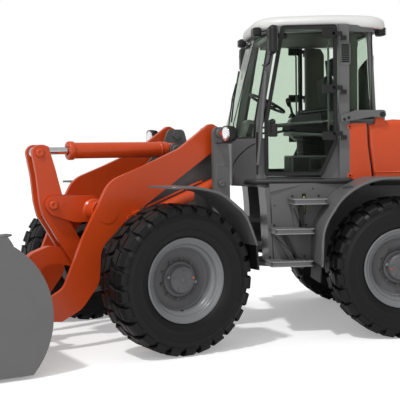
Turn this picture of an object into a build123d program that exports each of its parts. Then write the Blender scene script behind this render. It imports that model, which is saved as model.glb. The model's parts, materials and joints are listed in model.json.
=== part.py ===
from build123d import *
import os
from math import atan2, cos, degrees, hypot, radians, sin

# Articulated wheel loader with a Z-bar linkage. Millimetres, +X forwards along the rear frame, +Y to
# the machine's left, +Z up, ground at z = 0. Both half frames are drawn straight, from the vertical
# hinge between them; place() then turns the front half to its parked steering angle.

# ---------------------------------------------------------------- driving dimensions
WHEELBASE = 2550
HALF_TRACK = 1000            # wheel centre plane from the machine's centre plane
STEER_REST = 24.0            # degrees to the left, as parked
TYRE_RADIUS = 627
TYRE_WIDTH = 430
RIM_RADIUS = 355             # outside of the flange of a 25 inch rim
RIM_SEAT = 318
LUG_HEIGHT = 30
LUGS = 20                    # per side
LUG_LENGTH = 118             # along the tread
GAP = 6                      # between faces that move past each other
FIT = 0.5                    # radial, pin in bore

FRAME_PLATE = 28
FRAME_HALF = 345             # half width over the main side plates
HINGE_LOW, HINGE_HIGH = 560, 985
HINGE_PIN = 42

ARM_OUT, ARM_IN = 445, 395   # outer and inner faces of each lift arm
CHEEK_IN, CHEEK_OUT = 495, 530   # outer plate of each arm tower
NOSE_OUT, NOSE_IN = 145, 105
CRANK_OUT, CRANK_IN = 98, 56
EYE_HALF = 48                # half width of the link and of the tilt rod's eye
PIN = 34                     # linkage pin radius

ARM_PIVOT = (560, 1850)
CRANK_PIVOT = (2030, 1233)
CRANK_TOP = (2126, 1693)
CRANK_LOW = (1780, 740)
LINK_FRONT = (2260, 600)
BUCKET_PIN = (2280, 370)
TILT_REAR = (780, 1708)
CROSS_TUBE = (1650, 1168)
CROSS_TUBE_RADIUS = 90
LIFT_REAR = (545, 1389)
LIFT_FRONT = (1420, 1055)
LIFT_Y = 420                 # lift cylinder's centre plane, under the arm
LIFT_BORE_RADIUS = 55
LIFT_ROD_RADIUS = 30
LIFT_BARREL = 820            # rear pin to gland
LIFT_EYE, LIFT_FORK = 38, 46 # half widths of the rod's eye and of the fork's gap
TILT_BORE_RADIUS = 72
TILT_ROD_RADIUS = 32
TILT_BARREL_END = 1830       # x of the gland
STEER_REAR = (-500, 215)     # x, y of the steering cylinder's pins
STEER_FRONT = (300, 215)
STEER_Z = 770
STEER_BORE_RADIUS = 38
STEER_ROD_RADIUS = 20
STEER_PIN = 18

BUCKET_HALF = 1220
BUCKET_SHEET = 16
BUCKET_FLOOR_Z = 30
BUCKET_CENTRE = (3090, 465)  # centre of the rounded back
BUCKET_RADIUS = 640
BUCKET_LIP = 3480

CAB_HALF = 755               # at the door pillar
CAB_FRONT_HALF = 640         # at the windscreen pillar
CAB_FLOOR_Z = 1400
CAB_TOP_Z = 2830
WAIST_Z = 1950
PROW_TOP = 1800              # the windscreen reaches lower than the side windows
ROOF_Z = CAB_TOP_Z + 120
ROOF_REAR = -1330
PILLAR_LOW = (-90, 1950)     # front edge of the windscreen pillar where it starts to lean, x and z
PILLAR_TOP = (-250, 2830)
DOOR_REAR = -800             # hinge line
DOOR_THICK = 34
CAB_REAR = -1215
GLASS = 8
QUARTER_LONG, QUARTER_DROP = 229, 53   # quarter pane, along and inwards
TANK_OUTER = CAB_HALF - 13

HOOD_HALF = CAB_HALF - 20
HOOD_TOP = 1960
HOOD_LOW = 1425
HOOD_SHEET = 18
HOOD_FRONT = -1085
HOOD_REAR = -2480
HOOD_ROOF_FRONT = -1235      # the lid's roof starts behind the cab, its sides further forward
HOOD_PIVOT = (-1205, 2005)
TAIL_X = -2700

FENDER_INNER, FENDER_OUTER = 735, 1205
FENDER_TOP = 1436
FENDER_SHEET = 16

FRONT_AXLE = WHEELBASE / 2
REAR_AXLE = -WHEELBASE / 2
AXLE_Z = TYRE_RADIUS
# The finished part's origin is on the ground under the middle of its bounding box.
HINGE_X, HINGE_Y = -488, -658


# ---------------------------------------------------------------- helpers
def section(rows):
    """A face in the XZ plane from rows of x, z and corner radius."""
    corners = [(x, z) for x, z, _ in rows]
    radii = [r for _, _, r in rows]
    return Plane.XZ * make_face(FilletPolyline(*corners, radius=radii, close=True))


def plate(rows, y_low, y_high):
    """A plate between two planes across the machine, from rows of x, z and corner radius."""
    return Pos(0, y_high, 0) * extrude(section(rows), amount=y_high - y_low)


def slab(rows, z_low, z_high):
    """A plate between two heights, from rows of x, y and corner radius."""
    corners = [(x, y) for x, y, _ in rows]
    radii = [r for _, _, r in rows]
    face = make_face(FilletPolyline(*corners, radius=radii, close=True))
    return Pos(0, 0, z_low) * extrude(face, amount=z_high - z_low)


def block(x, y, z):
    """A box from three (low, high) pairs."""
    size = [b - a for a, b in (x, y, z)]
    return Pos(sum(x) / 2, sum(y) / 2, sum(z) / 2) * Box(*size)


def bar(centre, radius, y_low, y_high):
    """A round bar across the machine, centred on an x, z point."""
    x, z = centre
    return Pos(x, (y_low + y_high) / 2, z) * Rot(90, 0, 0) * Cylinder(radius, y_high - y_low)


def post(x, y, z_low, z_high, radius):
    return Pos(x, y, (z_low + z_high) / 2) * Cylinder(radius, z_high - z_low)


def rod(start, end, radius):
    """A round bar between two points in space."""
    start, end = Vector(*start), Vector(*end)
    along = end - start
    return Plane(start, z_dir=along) * Cylinder(radius, along.length,
        align=(Align.CENTER, Align.CENTER, Align.MIN))


def strut(low, high, size_x, size_y):
    """A straight post of rectangular section between two points, level at both ends."""
    faces = [Plane(Vector(*p)) * Rectangle(size_x, size_y) for p in (low, high)]
    return loft(Sketch() + faces)


def gather(*solids):
    """Separate solids kept together as one node."""
    return Compound([one for solid in solids for one in solid.solids()])


def both(solid):
    """The solid and its mirror image across the machine."""
    return gather(solid, mirror(solid, about=Plane.XZ))


def fuse(pieces):
    pieces = list(pieces)
    return pieces[0].fuse(*pieces[1:]) if len(pieces) > 1 else pieces[0]


parts = {}


def place(name, solid, front=False):
    """Keep a node, turning the front half to its parked angle, with the origin in the middle."""
    turned = Rot(0, 0, STEER_REST) * solid if front else solid
    parts[name] = Pos(HINGE_X, HINGE_Y, 0) * turned


# ---------------------------------------------------------------- wheels
def make_tyre():
    """Carcass as a turned section, with one skewed lug a pitch along each shoulder."""
    half = TYRE_WIDTH / 2
    tread = TYRE_RADIUS - LUG_HEIGHT
    # columns: radius, offset from the centre plane
    rows = [
        (RIM_SEAT, -half * 0.73), (RIM_RADIUS + 4, -half * 0.765), (RIM_RADIUS + 60, -half * 0.97),
        (tread * 0.86, -half), (tread * 0.96, -half * 0.93), (tread, -half * 0.72),
    ]
    rows += [(r, -y) for r, y in reversed(rows)]
    face = Plane.YZ * make_face(Polyline(*[(y, r) for r, y in rows], close=True))
    body = revolve(face, axis=Axis.Y)
    reach = LUG_LENGTH * 0.56
    lug = make_face(Polyline(
        (-LUG_LENGTH * 0.46, 14), (LUG_LENGTH * 0.1, 14), (reach, half * 0.52), (reach, half - 6),
        (-LUG_LENGTH * 0.3, half - 6), (-LUG_LENGTH * 0.3, half * 0.6), close=True))
    foot = tread * 0.9
    lug_top = (TYRE_RADIUS ** 2 - reach ** 2) ** 0.5
    lug = extrude(lug, amount=lug_top - foot)
    lug = Pos(0, 0, foot) * lug
    pitch = 360 / LUGS
    lugs = []
    for k in range(LUGS):
        lugs.append(Rot(0, k * pitch, 0) * lug)
        lugs.append(Rot(0, (k + 0.5) * pitch, 0) * mirror(lug, about=Plane.XZ))
    return fuse([body] + lugs)


def make_rim():
    """Flanged rim with its disc and planetary hub; y grows outwards."""
    half = TYRE_WIDTH / 2
    # columns: radius, offset from the centre plane
    shell = [
        (RIM_SEAT - 18, -half * 0.84), (RIM_RADIUS, -half * 0.84), (RIM_RADIUS, -half * 0.78),
        (RIM_SEAT, -half * 0.74), (RIM_SEAT, half * 0.74), (RIM_RADIUS, half * 0.78),
        (RIM_RADIUS, half * 0.84), (RIM_RADIUS - 16, half * 0.84), (RIM_SEAT - 30, half * 0.55),
        (RIM_SEAT - 30, 30), (205, 18), (165, 18), (165, 62), (120, 82), (0, 82),
        (0, 0), (AXLE_STUB + FIT, 0), (AXLE_STUB + FIT, -60), (165, -60), (165, 0), (205, 0),
        (RIM_SEAT - 48, 10), (RIM_SEAT - 48, -20), (RIM_SEAT - 18, -60),
    ]
    face = Plane.YZ * make_face(Polyline(*[(y, r) for r, y in shell], close=True))
    return revolve(face, axis=Axis.Y)


AXLE_STUB = 70
WHEELS = [
    # name, x, side, on the front frame
    ("fl", FRONT_AXLE, 1, True),
    ("fr", FRONT_AXLE, -1, True),
    ("rl", REAR_AXLE, 1, False),
    ("rr", REAR_AXLE, -1, False),
]


def make_wheels():
    tyre, rim = make_tyre(), make_rim()
    for name, x, side, front in WHEELS:
        for kind, solid in (("tyre", tyre), ("rim", rim)):
            turned = solid if side > 0 else mirror(solid, about=Plane.XZ)
            place(f"{kind}_{name}", Pos(x, side * HALF_TRACK, AXLE_Z) * turned, front)


def make_axle(x, seat_z):
    """Axle beam with its centre housing, spindles for the hubs and pads under the side plates."""
    beam = fuse([
        bar((x, AXLE_Z), 92, -HALF_TRACK + 190, HALF_TRACK - 190),
        bar((x, AXLE_Z), 150, -HALF_TRACK + 62 + GAP, -HALF_TRACK + 190),
        bar((x, AXLE_Z), 150, HALF_TRACK - 190, HALF_TRACK - 62 - GAP),
        bar((x, AXLE_Z), AXLE_STUB, -HALF_TRACK + 4, HALF_TRACK - 4),
        Pos(x, 0, AXLE_Z) * Sphere(155),
    ])
    pad = block((x - 95, x + 95), (FRAME_HALF - 110, FRAME_HALF + 20), (AXLE_Z, seat_z))
    return beam + pad + mirror(pad, about=Plane.XZ)


# ---------------------------------------------------------------- rear frame
def rear_chassis():
    """Side plates tapering to the hinge, hinge lugs with their pins, and cross plates."""
    side = plate([
        (-330, 590, 0), (-330, 1180, 0), (-560, 1330, 0), (-2360, 1330, 0), (-2480, 1180, 0),
        (-2480, 640, 0), (-1640, 700, 0), (-1500, 830, 60), (-1050, 830, 60), (-900, 560, 0),
    ], FRAME_HALF - FRAME_PLATE, FRAME_HALF)
    pieces = [side, mirror(side, about=Plane.XZ)]
    fork = [
        (70, -70, 50), (70, 70, 50), (-60, 150, 0), (-330, FRAME_HALF, 0), (-420, FRAME_HALF, 0),
        (-420, -FRAME_HALF, 0), (-330, -FRAME_HALF, 0), (-60, -150, 0),
    ]
    for z in (HINGE_LOW, HINGE_HIGH):
        pieces.append(slab(fork, z, z + 40))
    for z in (HINGE_LOW, HINGE_HIGH - 40 - GAP):
        pieces.append(post(0, 0, z - 10, z + 96, HINGE_PIN))
    inner = (-FRAME_HALF + FRAME_PLATE, FRAME_HALF - FRAME_PLATE)
    # columns: rear face, lower edge
    for x, z in ((-590, 640), (-980, 640), (-1240, 850), (-2440, 850)):
        pieces.append(block((x, x + 25), inner, (z, 1200)))
    for side_sign in (1, -1):
        y = side_sign * STEER_REAR[1]
        for z in (STEER_Z - 62, STEER_Z + 40):
            pieces.append(slab([
                (STEER_REAR[0] + 40, y - 40, 30), (STEER_REAR[0] + 40, y + 40, 30),
                (-570, y + 60, 0), (-570, y - 60, 0)], z, z + 22))
        pieces.append(post(STEER_REAR[0], y, STEER_Z - 66, STEER_Z + 66, STEER_PIN))
    for x in (-700, -1150):
        mount = block((x - 60, x + 60), (FRAME_HALF - 60, FRAME_HALF), (1320, CAB_FLOOR_Z - 20))
        pieces += [mount, mirror(mount, about=Plane.XZ)]
    return fuse(pieces)


def sills():
    """Level shelf each side of the engine bay that carries the hood, the tanks and the fenders."""
    shelf = block((-2480, CAB_REAR - 5), (FRAME_HALF, HOOD_HALF), (HOOD_LOW - 35, HOOD_LOW - 10))
    web = block((-2420, -2400), (FRAME_HALF, HOOD_HALF - 20), (1150, HOOD_LOW - 35))
    return shelf + web


def tank(side_name):
    """Side housing under the cab with three steps on slanted carriers."""
    body = plate([
        (-155, CAB_FLOOR_Z - 20, 0), (-155, 1345, 0), (-110, 1345, 0), (-128, 1150, 0), (-148, 640, 20),
        (-470, 590, 20), (-545, 760, 60), (-720, 1180, 60), (-900, CAB_FLOOR_Z - 20, 0)], FRAME_HALF,
        TANK_OUTER)
    body -= block((-340, -120), (FRAME_HALF - 5, FRAME_HALF + 30), (STEER_Z - 70, STEER_Z + 70))
    pieces = [body]
    # columns: front x, rear x, top z
    steps = [(-325, -640, 1245), (-155, -520, 980), (-112, -505, 688)]
    for x_front, x_rear, z in steps:
        pieces.append(slab([
            (x_front, TANK_OUTER, 0), (x_front - 15, TANK_OUTER + 243, 30), (x_rear, TANK_OUTER + 243, 30),
            (x_rear, TANK_OUTER, 0)], z - 48, z))
    for (xa, _, za), (xb, _, zb) in zip(steps, steps[1:]):
        pieces.append(plate([
            (xa - 20, za - 40, 0), (xa - 60, za - 40, 0), (xb - 300, zb - 20, 0), (xb - 230, zb - 20, 0)],
            TANK_OUTER, TANK_OUTER + 33))
    solid = fuse(pieces)
    return solid if side_name == "l" else mirror(solid, about=Plane.XZ)


def rear_fender():
    """Rounded rear fender over the wheel, from the tank to the tail."""
    s = FENDER_SHEET
    outside = [
        (-530, 660, 0), (-545, 1010, 300), (-735, 1300, 300), (-1000, FENDER_TOP, 260),
        (-1560, FENDER_TOP, 260),
        (-1840, 1290, 300), (-2010, 1010, 300), (-2030, 900, 0)]
    inside = [
        (-2030 + s, 900, 0), (-2010 + s, 1004, 290), (-1831, 1278, 290), (-1556, FENDER_TOP - s, 250),
        (-1004, FENDER_TOP - s, 250), (-746, 1288, 290), (-545 - s, 1004, 290), (-530 - s, 660, 0)]
    return plate(outside + inside, CAB_HALF, FENDER_OUTER)


def counterweight():
    """Cast tail weight with a rounded rear, a towing jaw and its pin hole."""
    body = slab([
        (-2480, -HOOD_HALF, 0), (-2480, HOOD_HALF, 0), (TAIL_X + 60, HOOD_HALF + 200, 60), (TAIL_X, 620, 60),
        (TAIL_X, -620, 60), (TAIL_X + 60, -HOOD_HALF - 200, 60)], 600, 1180)
    jaw = block((TAIL_X - 20, TAIL_X + 160), (-90, 90), (700, 780))
    pocket = block((TAIL_X - 20, TAIL_X + 160), (-90, 90), (860, 1100))
    hole = post(TAIL_X + 60, 0, 580, 880, 20)
    return body - jaw - pocket - hole


def tail():
    """Radiator housing above the tail weight, open at the back for its grille."""
    top = HOOD_TOP - 130
    sweep = hypot(HOOD_PIVOT[0] - HOOD_REAR, HOOD_PIVOT[1] - top) + GAP
    shell = block((TAIL_X + 30, HOOD_REAR - GAP), (-HOOD_HALF, HOOD_HALF), (1180, top + 10))
    shell = fillet(shell.edges().filter_by(Axis.Z).group_by(Axis.X)[0], 60)
    shell += block((HOOD_REAR - 40, HOOD_REAR + 140), (-HOOD_HALF, HOOD_HALF), (HOOD_LOW + 10, top + 10))
    shell -= bar(HOOD_PIVOT, sweep, -HOOD_HALF - 10, HOOD_HALF + 10)
    opening = block((TAIL_X, HOOD_REAR - 50), (-560, 560), (1250, 1780))
    return shell - opening


def grille():
    """Louvre panel with a frame, upright end bars and level slats."""
    frame = block((TAIL_X + 45, TAIL_X + 75), (-560, 560), (1250, 1780))
    frame -= block((TAIL_X, TAIL_X + 100), (-520, 520), (1290, 1740))
    slats = [
        Pos(TAIL_X + 60, 0, 1290 + 45 * (k + 0.5)) * Rot(0, 35, 0) * Box(34, 1040, 5)
        for k in range(10)
    ]
    return fuse([frame] + slats)


def hood():
    """Lid over the engine: roof and sides in one shell, notched round the exhaust."""
    rows = [
        (HOOD_FRONT + 15, HOOD_TOP - 38, 20), (-1330, HOOD_TOP, 0), (-2200, HOOD_TOP - 40, 160),
        (HOOD_REAR, HOOD_TOP - 130, 0), (HOOD_REAR + 125, HOOD_LOW + 10, 0), (HOOD_FRONT - 40, HOOD_LOW, 0),
        (HOOD_FRONT, 1720, 0)]
    outer = plate(rows, -HOOD_HALF, HOOD_HALF)

    def shoulder(edge):
        centre, size = edge.center(), edge.bounding_box().size
        outer_face = abs(centre.Y) > HOOD_HALF - 1
        return outer_face and centre.Z > HOOD_TOP - 100 and -2190 < centre.X < -1090 and size.X > 100

    outer = fillet(outer.edges().filter_by(shoulder), 55)
    s = HOOD_SHEET
    hollow = block((HOOD_REAR - 50, HOOD_FRONT + 80), (-HOOD_HALF + s, HOOD_HALF - s), (1300, HOOD_TOP - 125))
    hollow += block((HOOD_REAR + s, HOOD_FRONT + 80), (-HOOD_HALF + 70, HOOD_HALF - 70),
        (1300, HOOD_TOP - 70))
    hollow += block((HOOD_ROOF_FRONT, HOOD_FRONT + 80), (-HOOD_HALF + s, HOOD_HALF - s),
        (1300, HOOD_TOP + 100))
    stack = (EXHAUST[1] - EXHAUST_Y_HALF, EXHAUST[1] + EXHAUST_Y_HALF)
    notch = block((-1560, HOOD_FRONT + 80), stack, (1700, 2100))
    lid = outer - hollow - notch
    ears = plate([
        (HOOD_PIVOT[0] - 45, HOOD_TOP - 60, 0), (HOOD_PIVOT[0] - 34, HOOD_PIVOT[1] + 26, 24),
        (HOOD_PIVOT[0] + 34, HOOD_PIVOT[1] + 26, 24), (HOOD_PIVOT[0] + 60, HOOD_TOP - 60, 0)],
        HOOD_HALF - 27, HOOD_HALF - 5)
    ears -= bar(HOOD_PIVOT, 16 + FIT, HOOD_HALF - 100, HOOD_HALF + 20)
    return lid + ears + mirror(ears, about=Plane.XZ)


EXHAUST = (-1345, -250)      # x, y of the stack
EXHAUST_Y_HALF = 105
EXHAUST_RADIUS = 78
ENGINE_TOP = 1560


def exhaust():
    """Stack with a mouth cut back in a curve, on a cowl that fills the hood's notch."""
    x, y = EXHAUST
    pipe = post(x, y, ENGINE_TOP, 2650, EXHAUST_RADIUS) - post(x, y, 2300, 2700, EXHAUST_RADIUS - 8)
    pipe -= plate([(x - 20, 2760, 0), (x + 120, 2760, 0), (x + 120, 2420, 0), (x + 62, 2560, 120)], y - 120,
        y + 120)
    half = EXHAUST_Y_HALF - GAP
    return pipe + block((-1560 + GAP, HOOD_ROOF_FRONT + 4), (y - half, y + half), (1790, 1925))


def hood_arms():
    """Carrier arms bolted to the door pillars, with the lid's pivot pins."""
    arm = plate([
        (-815, 1935, 20), (-815, 1995, 25), (-960, 2045, 60), (-1235, 2045, 30), (-1245, 1965, 30),
        (-1120, 1985, 60),
        (-940, 1955, 0)], CAB_HALF, CAB_HALF + 30)
    arm += bar(HOOD_PIVOT, 16, HOOD_HALF - 33, CAB_HALF + 30)
    return both(arm)


def hood_side_panels():
    """Fixed panels between the door pillars and the lid."""
    panel = plate([
        (-905, 1412, 0), (-905, 1925, 15), (HOOD_FRONT + 15 + GAP, 1925, 0), (HOOD_FRONT + GAP, 1720, 0),
        (HOOD_FRONT - 40 + GAP + 4, 1412, 0)], CAB_HALF - 55, CAB_HALF)
    return both(panel)


# ---------------------------------------------------------------- cab
def cab_frame():
    """Floor, rounded prow, pillars, roof beams and rear wall, all joined; hollow inside."""
    side = CAB_HALF - 65
    rows = [
        (130, -260, 90), (130, 260, 90), (PILLAR_LOW[0], CAB_FRONT_HALF, 0), (DOOR_REAR, CAB_HALF, 0),
        (-905, CAB_HALF, 0), (-905, side + 8, 0), (CAB_REAR, side, 60), (CAB_REAR, -side, 60),
        (-905, -side - 8, 0),
        (-905, -CAB_HALF, 0), (DOOR_REAR, -CAB_HALF, 0), (PILLAR_LOW[0], -CAB_FRONT_HALF, 0)]
    floor = slab(rows, CAB_FLOOR_Z - 20, CAB_FLOOR_Z + 30)
    prow_rows = [
        (130, -260, 90), (130, 260, 90), (PILLAR_LOW[0] + 38, CAB_FRONT_HALF, 0),
        (PILLAR_LOW[0] - 60, CAB_FRONT_HALF + 6, 0), (PILLAR_LOW[0] - 60, -CAB_FRONT_HALF - 6, 0),
        (PILLAR_LOW[0] + 38, -CAB_FRONT_HALF, 0)]
    prow = slab(prow_rows, CAB_FLOOR_Z - 50, PROW_TOP)
    hollow_rows = [
        (105, -245, 75), (105, 245, 75), (PILLAR_LOW[0] + 5, CAB_FRONT_HALF - 45, 0),
        (PILLAR_LOW[0] - 80, CAB_FRONT_HALF - 45, 0), (PILLAR_LOW[0] - 80, -CAB_FRONT_HALF + 45, 0),
        (PILLAR_LOW[0] + 5, -CAB_FRONT_HALF + 45, 0)]
    prow -= slab(hollow_rows, CAB_FLOOR_Z + 30, PROW_TOP + 10)
    # The windscreen pillars stand only above the prow's waist.
    pieces = [floor, prow]
    for s in (1, -1):
        knee = (PILLAR_LOW[0] + 8, s * (CAB_FRONT_HALF - 22), PILLAR_LOW[1])
        pieces.append(block((knee[0] - 30, knee[0] + 30), (knee[1] - 30, knee[1] + 30),
            (CAB_FLOOR_Z, PILLAR_LOW[1])))
        pieces.append(strut(knee, (PILLAR_TOP[0] + 8, s * (CAB_FRONT_HALF - 52), CAB_TOP_Z), 60, 60))
        pieces.append(slab([
            (-900, s * CAB_HALF, 0), (-945, s * (CAB_HALF - 10), 0), (CAB_REAR + 10, s * side, 0),
            (CAB_REAR + 10, s * (side - 50), 0), (-900, s * (side - 50), 0)], WAIST_Z - 2, WAIST_Z + 12))
        post_y = s * (CAB_HALF - 35)
        pieces.append(block((-905, DOOR_REAR - 8), (post_y - 35, post_y + 35), (CAB_FLOOR_Z, CAB_TOP_Z)))
        filler = plate([
            (DOOR_REAR - 30, CAB_FLOOR_Z + 20, 0), (DOOR_REAR + 160, CAB_FLOOR_Z + 20, 0),
            (DOOR_REAR, 1760, 0),
            (DOOR_REAR - 30, 1760, 0)], CAB_HALF - 62, CAB_HALF - 32)
        pieces.append(filler if s > 0 else mirror(filler, about=Plane.XZ))
        pieces.append(strut(
            (CAB_REAR + 30, s * (side - 30), CAB_FLOOR_Z), (CAB_REAR + 90, s * (side - 70), CAB_TOP_Z), 42,
            42))
        y_top = CAB_FRONT_HALF - 52
        pieces.append(slab([
            (PILLAR_TOP[0] - 20, s * (y_top - 30), 0), (PILLAR_TOP[0] - 20, s * (y_top + 30), 0),
            (DOOR_REAR, s * (CAB_HALF - 4), 0), (CAB_REAR + 60, s * (side - 40), 0),
            (CAB_REAR + 60, s * (side - 100), 0),
            (DOOR_REAR, s * (CAB_HALF - 64), 0)], CAB_TOP_Z - 60, CAB_TOP_Z))
        pieces.append(slab([
            (-900, s * (side + 8), 0), (CAB_REAR + 10, s * side, 0), (CAB_REAR + 10, s * (side - 40), 0),
            (-900, s * (side - 32), 0)], CAB_FLOOR_Z, WAIST_Z))
    beam = (CAB_TOP_Z - 60, CAB_TOP_Z)
    front_half = CAB_FRONT_HALF - 60
    pieces.append(block((PILLAR_TOP[0] - 20, PILLAR_TOP[0] + 40), (-front_half, front_half), beam))
    pieces.append(block((CAB_REAR + 60, CAB_REAR + 118), (50 - side, side - 50), beam))
    pieces.append(block((CAB_REAR, CAB_REAR + 40), (30 - side, side - 30), (CAB_FLOOR_Z, WAIST_Z)))
    for knuckle in hinge_knuckles():
        pieces += [knuckle, mirror(knuckle, about=Plane.XZ)]
    return fuse(pieces)


def cab_roof():
    """Roof cap with rounded corners and edges, overhanging all round."""
    half = CAB_HALF - 20
    rows = [
        (-78, -half + 195, 180), (-78, half - 195, 180), (-780, half, 300), (ROOF_REAR, half - 95, 160),
        (ROOF_REAR, -half + 95, 160), (-780, -half, 300)]
    cap = slab(rows, CAB_TOP_Z, ROOF_Z)
    return chamfer(cap.faces().sort_by(Axis.Z)[-1].edges(), 45, 60)


def cab_glass():
    """Windscreen bent in three facets, rear pane and quarter panes."""
    lean = (PILLAR_TOP[0] - PILLAR_LOW[0]) / (PILLAR_TOP[1] - PILLAR_LOW[1])
    z_low, z_top = WAIST_Z, CAB_TOP_Z - 60

    def ring(z, nose, shift):
        x = PILLAR_LOW[0] + lean * max(0, z - PILLAR_LOW[1]) + 39 + shift
        half = CAB_FRONT_HALF - 22 - 30 * max(0, z - PILLAR_LOW[1]) / (CAB_TOP_Z - PILLAR_LOW[1])
        return Plane(Vector(0, 0, z)) * make_face(Polyline(
            (x, half), (x + nose, 250), (x + nose, -250), (x, -half), close=True))

    screen = loft(Sketch() + [ring(z_low, 160, 0), ring(z_top, 90, 0)])
    screen += loft(Sketch() + [ring(PROW_TOP, 160, 0), ring(z_low, 160, 0)])
    screen -= loft(Sketch() + [ring(z_low, 160, -GLASS * 1.6), ring(z_top, 90, -GLASS * 1.6)])
    screen -= loft(Sketch() + [ring(PROW_TOP, 160, -GLASS * 1.6), ring(z_low, 160, -GLASS * 1.6)])
    rear = strut((CAB_REAR + 20, 0, z_low), (CAB_REAR + 72, 0, z_top), GLASS, 2 * CAB_HALF - 330)
    turn = degrees(atan2(QUARTER_DROP, QUARTER_LONG))
    pane = plate([
        (0, z_low + 12, 0), (0, z_top, 0), (60 - QUARTER_LONG, z_top, 0), (10 - QUARTER_LONG, z_low + 12, 0)],
        -GLASS, 0)
    quarter = Pos(-909, CAB_HALF - 16, 0) * Rot(0, 0, turn) * pane
    return gather(screen, rear, both(quarter))


def door_outline(inset):
    """Door edge in its own plane, x forwards from the hinge line."""
    reach = (PILLAR_LOW[0] - DOOR_REAR) - 28
    top = (PILLAR_TOP[0] - DOOR_REAR) - 28
    z_low, z_top = CAB_FLOOR_Z + 50, CAB_TOP_Z - 4
    i = inset
    return [
        (reach - i, z_low + i, 30), (reach - i, PILLAR_LOW[1], 0), (top - i * 0.9, z_top - i, 30),
        (14 + i, z_top - i, 30),
        (14 + i, 1740 + i * 0.5, 20), (150 + i * 0.8, z_low + i, 20)]


DOOR_HINGE = (DOOR_REAR - 12, CAB_HALF + 28)
DOOR_HINGES_Z = (1815, 2232, 2722)
DOOR_RIM = 30                # width of the door's frame round its glass


def door(side):
    """Framed door with its window cut, and the upper knuckle of each hinge."""
    frame = plate(door_outline(0), 0, DOOR_THICK) - plate(door_outline(DOOR_RIM), -5, DOOR_THICK + 5)
    glass = plate(door_outline(DOOR_RIM), DOOR_THICK / 2 - GLASS / 2, DOOR_THICK / 2 + GLASS / 2)
    turn = -degrees(atan2(CAB_HALF - CAB_FRONT_HALF, PILLAR_LOW[0] - DOOR_REAR))
    spot = Pos(DOOR_REAR, CAB_HALF + GAP, 0) * Rot(0, 0, turn)
    frame, glass = spot * frame, spot * glass
    x, y = DOOR_HINGE
    for z in DOOR_HINGES_Z:
        frame += post(x, y, z, z + 36, 13) + block((x, x + 52), (y - 6, y + 10), (z, z + 36))
    out = []
    for solid in (frame, glass):
        out.append(solid if side == "l" else mirror(solid, about=Plane.XZ))
    return out


def hinge_knuckles():
    """Fixed lower knuckle of each door hinge, on the left door pillar."""
    x, y = DOOR_HINGE
    return [
        post(x, y, z - 36, z, 13) + block((x - 60, x), (CAB_HALF - 5, y + 10), (z - 36, z))
        for z in DOOR_HINGES_Z
    ]


def seat():
    cushion = block((-840, -480), (-230, 230), (1800, 1900))
    back = strut((-850, 0, 1850), (-930, 0, 2420), 110, 440)
    head = block((-985, -895), (-140, 140), (2405, 2600))
    return fuse([cushion, back, head])


def seat_base():
    """Box on the floor with the suspension bellows above it."""
    return block((-800, -470), (-210, 210), (CAB_FLOOR_Z + 30, 1630)) + block((-830, -590), (-180, 180),
        (1630, 1800))


def steering_column():
    """Column leaning back to the wheel: a ring, three spokes and a hub."""
    top = (-270, 0, 2150)
    column = rod((10, 0, CAB_FLOOR_Z + 60), top, 42) + block((-60, 70), (-70, 70),
        (CAB_FLOOR_Z + 30, CAB_FLOOR_Z + 80))
    tilt = Pos(*top) * Rot(0, -28, 0)
    ring = tilt * Torus(185, 15)
    hub = tilt * Cylinder(45, 40)
    spokes = [tilt * Rot(0, 0, 120 * k) * Pos(92, 0, 0) * Box(184, 26, 12) for k in range(3)]
    dash = strut((-10, 0, 1780), (-80, 0, 1940), 130, 300)
    return fuse([column, ring, hub, dash] + spokes)


def control_console():
    """Arm console at the right of the seat, with its lever."""
    box = block((-900, -500), (-420, -250), (1900, 2010)) + block((-860, -620), (-400, -270),
        (CAB_FLOOR_Z + 30, 1900))
    return box + rod((-560, -330, 2000), (-530, -330, 2170), 18) + Pos(-530, -330, 2190) * Sphere(32)


def pillar_face(z):
    """Outside of the windscreen pillar at a height."""
    lean_in = 30 * max(0, z - PILLAR_LOW[1]) / (CAB_TOP_Z - PILLAR_LOW[1])
    return CAB_FRONT_HALF + 8.7 - lean_in


def mirrors():
    """Outside mirrors on bent arms from the windscreen pillars."""
    y = CAB_FRONT_HALF
    head = block((-208, -132), (y + 160, y + 340), (2450, 2730))
    head = fillet(head.edges().filter_by(Axis.X), 50)
    head += rod((-215, y + 200, 2800), (-172, y + 200, 2700), 11)
    head += rod((-215, pillar_face(2800), 2800), (-215, y + 200, 2800), 11)
    return both(head + Pos(-215, y + 200, 2800) * Sphere(11))


def work_lamps():
    """Roof lamps, two ahead and two behind, hanging from the roof's edge."""
    front = block((-138, -50), (400, 520), (CAB_TOP_Z - 100, CAB_TOP_Z))
    back = block((ROOF_REAR + 12, ROOF_REAR + 102), (430, 550), (CAB_TOP_Z - 80, CAB_TOP_Z))
    return gather(both(front), both(back))


def grab_rails():
    """Rail along each windscreen pillar."""
    lean = (PILLAR_TOP[0] - PILLAR_LOW[0]) / (PILLAR_TOP[1] - PILLAR_LOW[1])
    y = CAB_FRONT_HALF + 50
    low = (PILLAR_LOW[0] + 30, y, 1560)
    high = (PILLAR_LOW[0] + 30 + lean * 460, y - 10, 2410)
    rail = rod(low, high, 15)
    for x, end_y, z in (low, high):
        rail += rod((x, end_y, z), (x, pillar_face(z), z), 15) + Pos(x, end_y, z) * Sphere(15)
    return both(rail)


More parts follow.
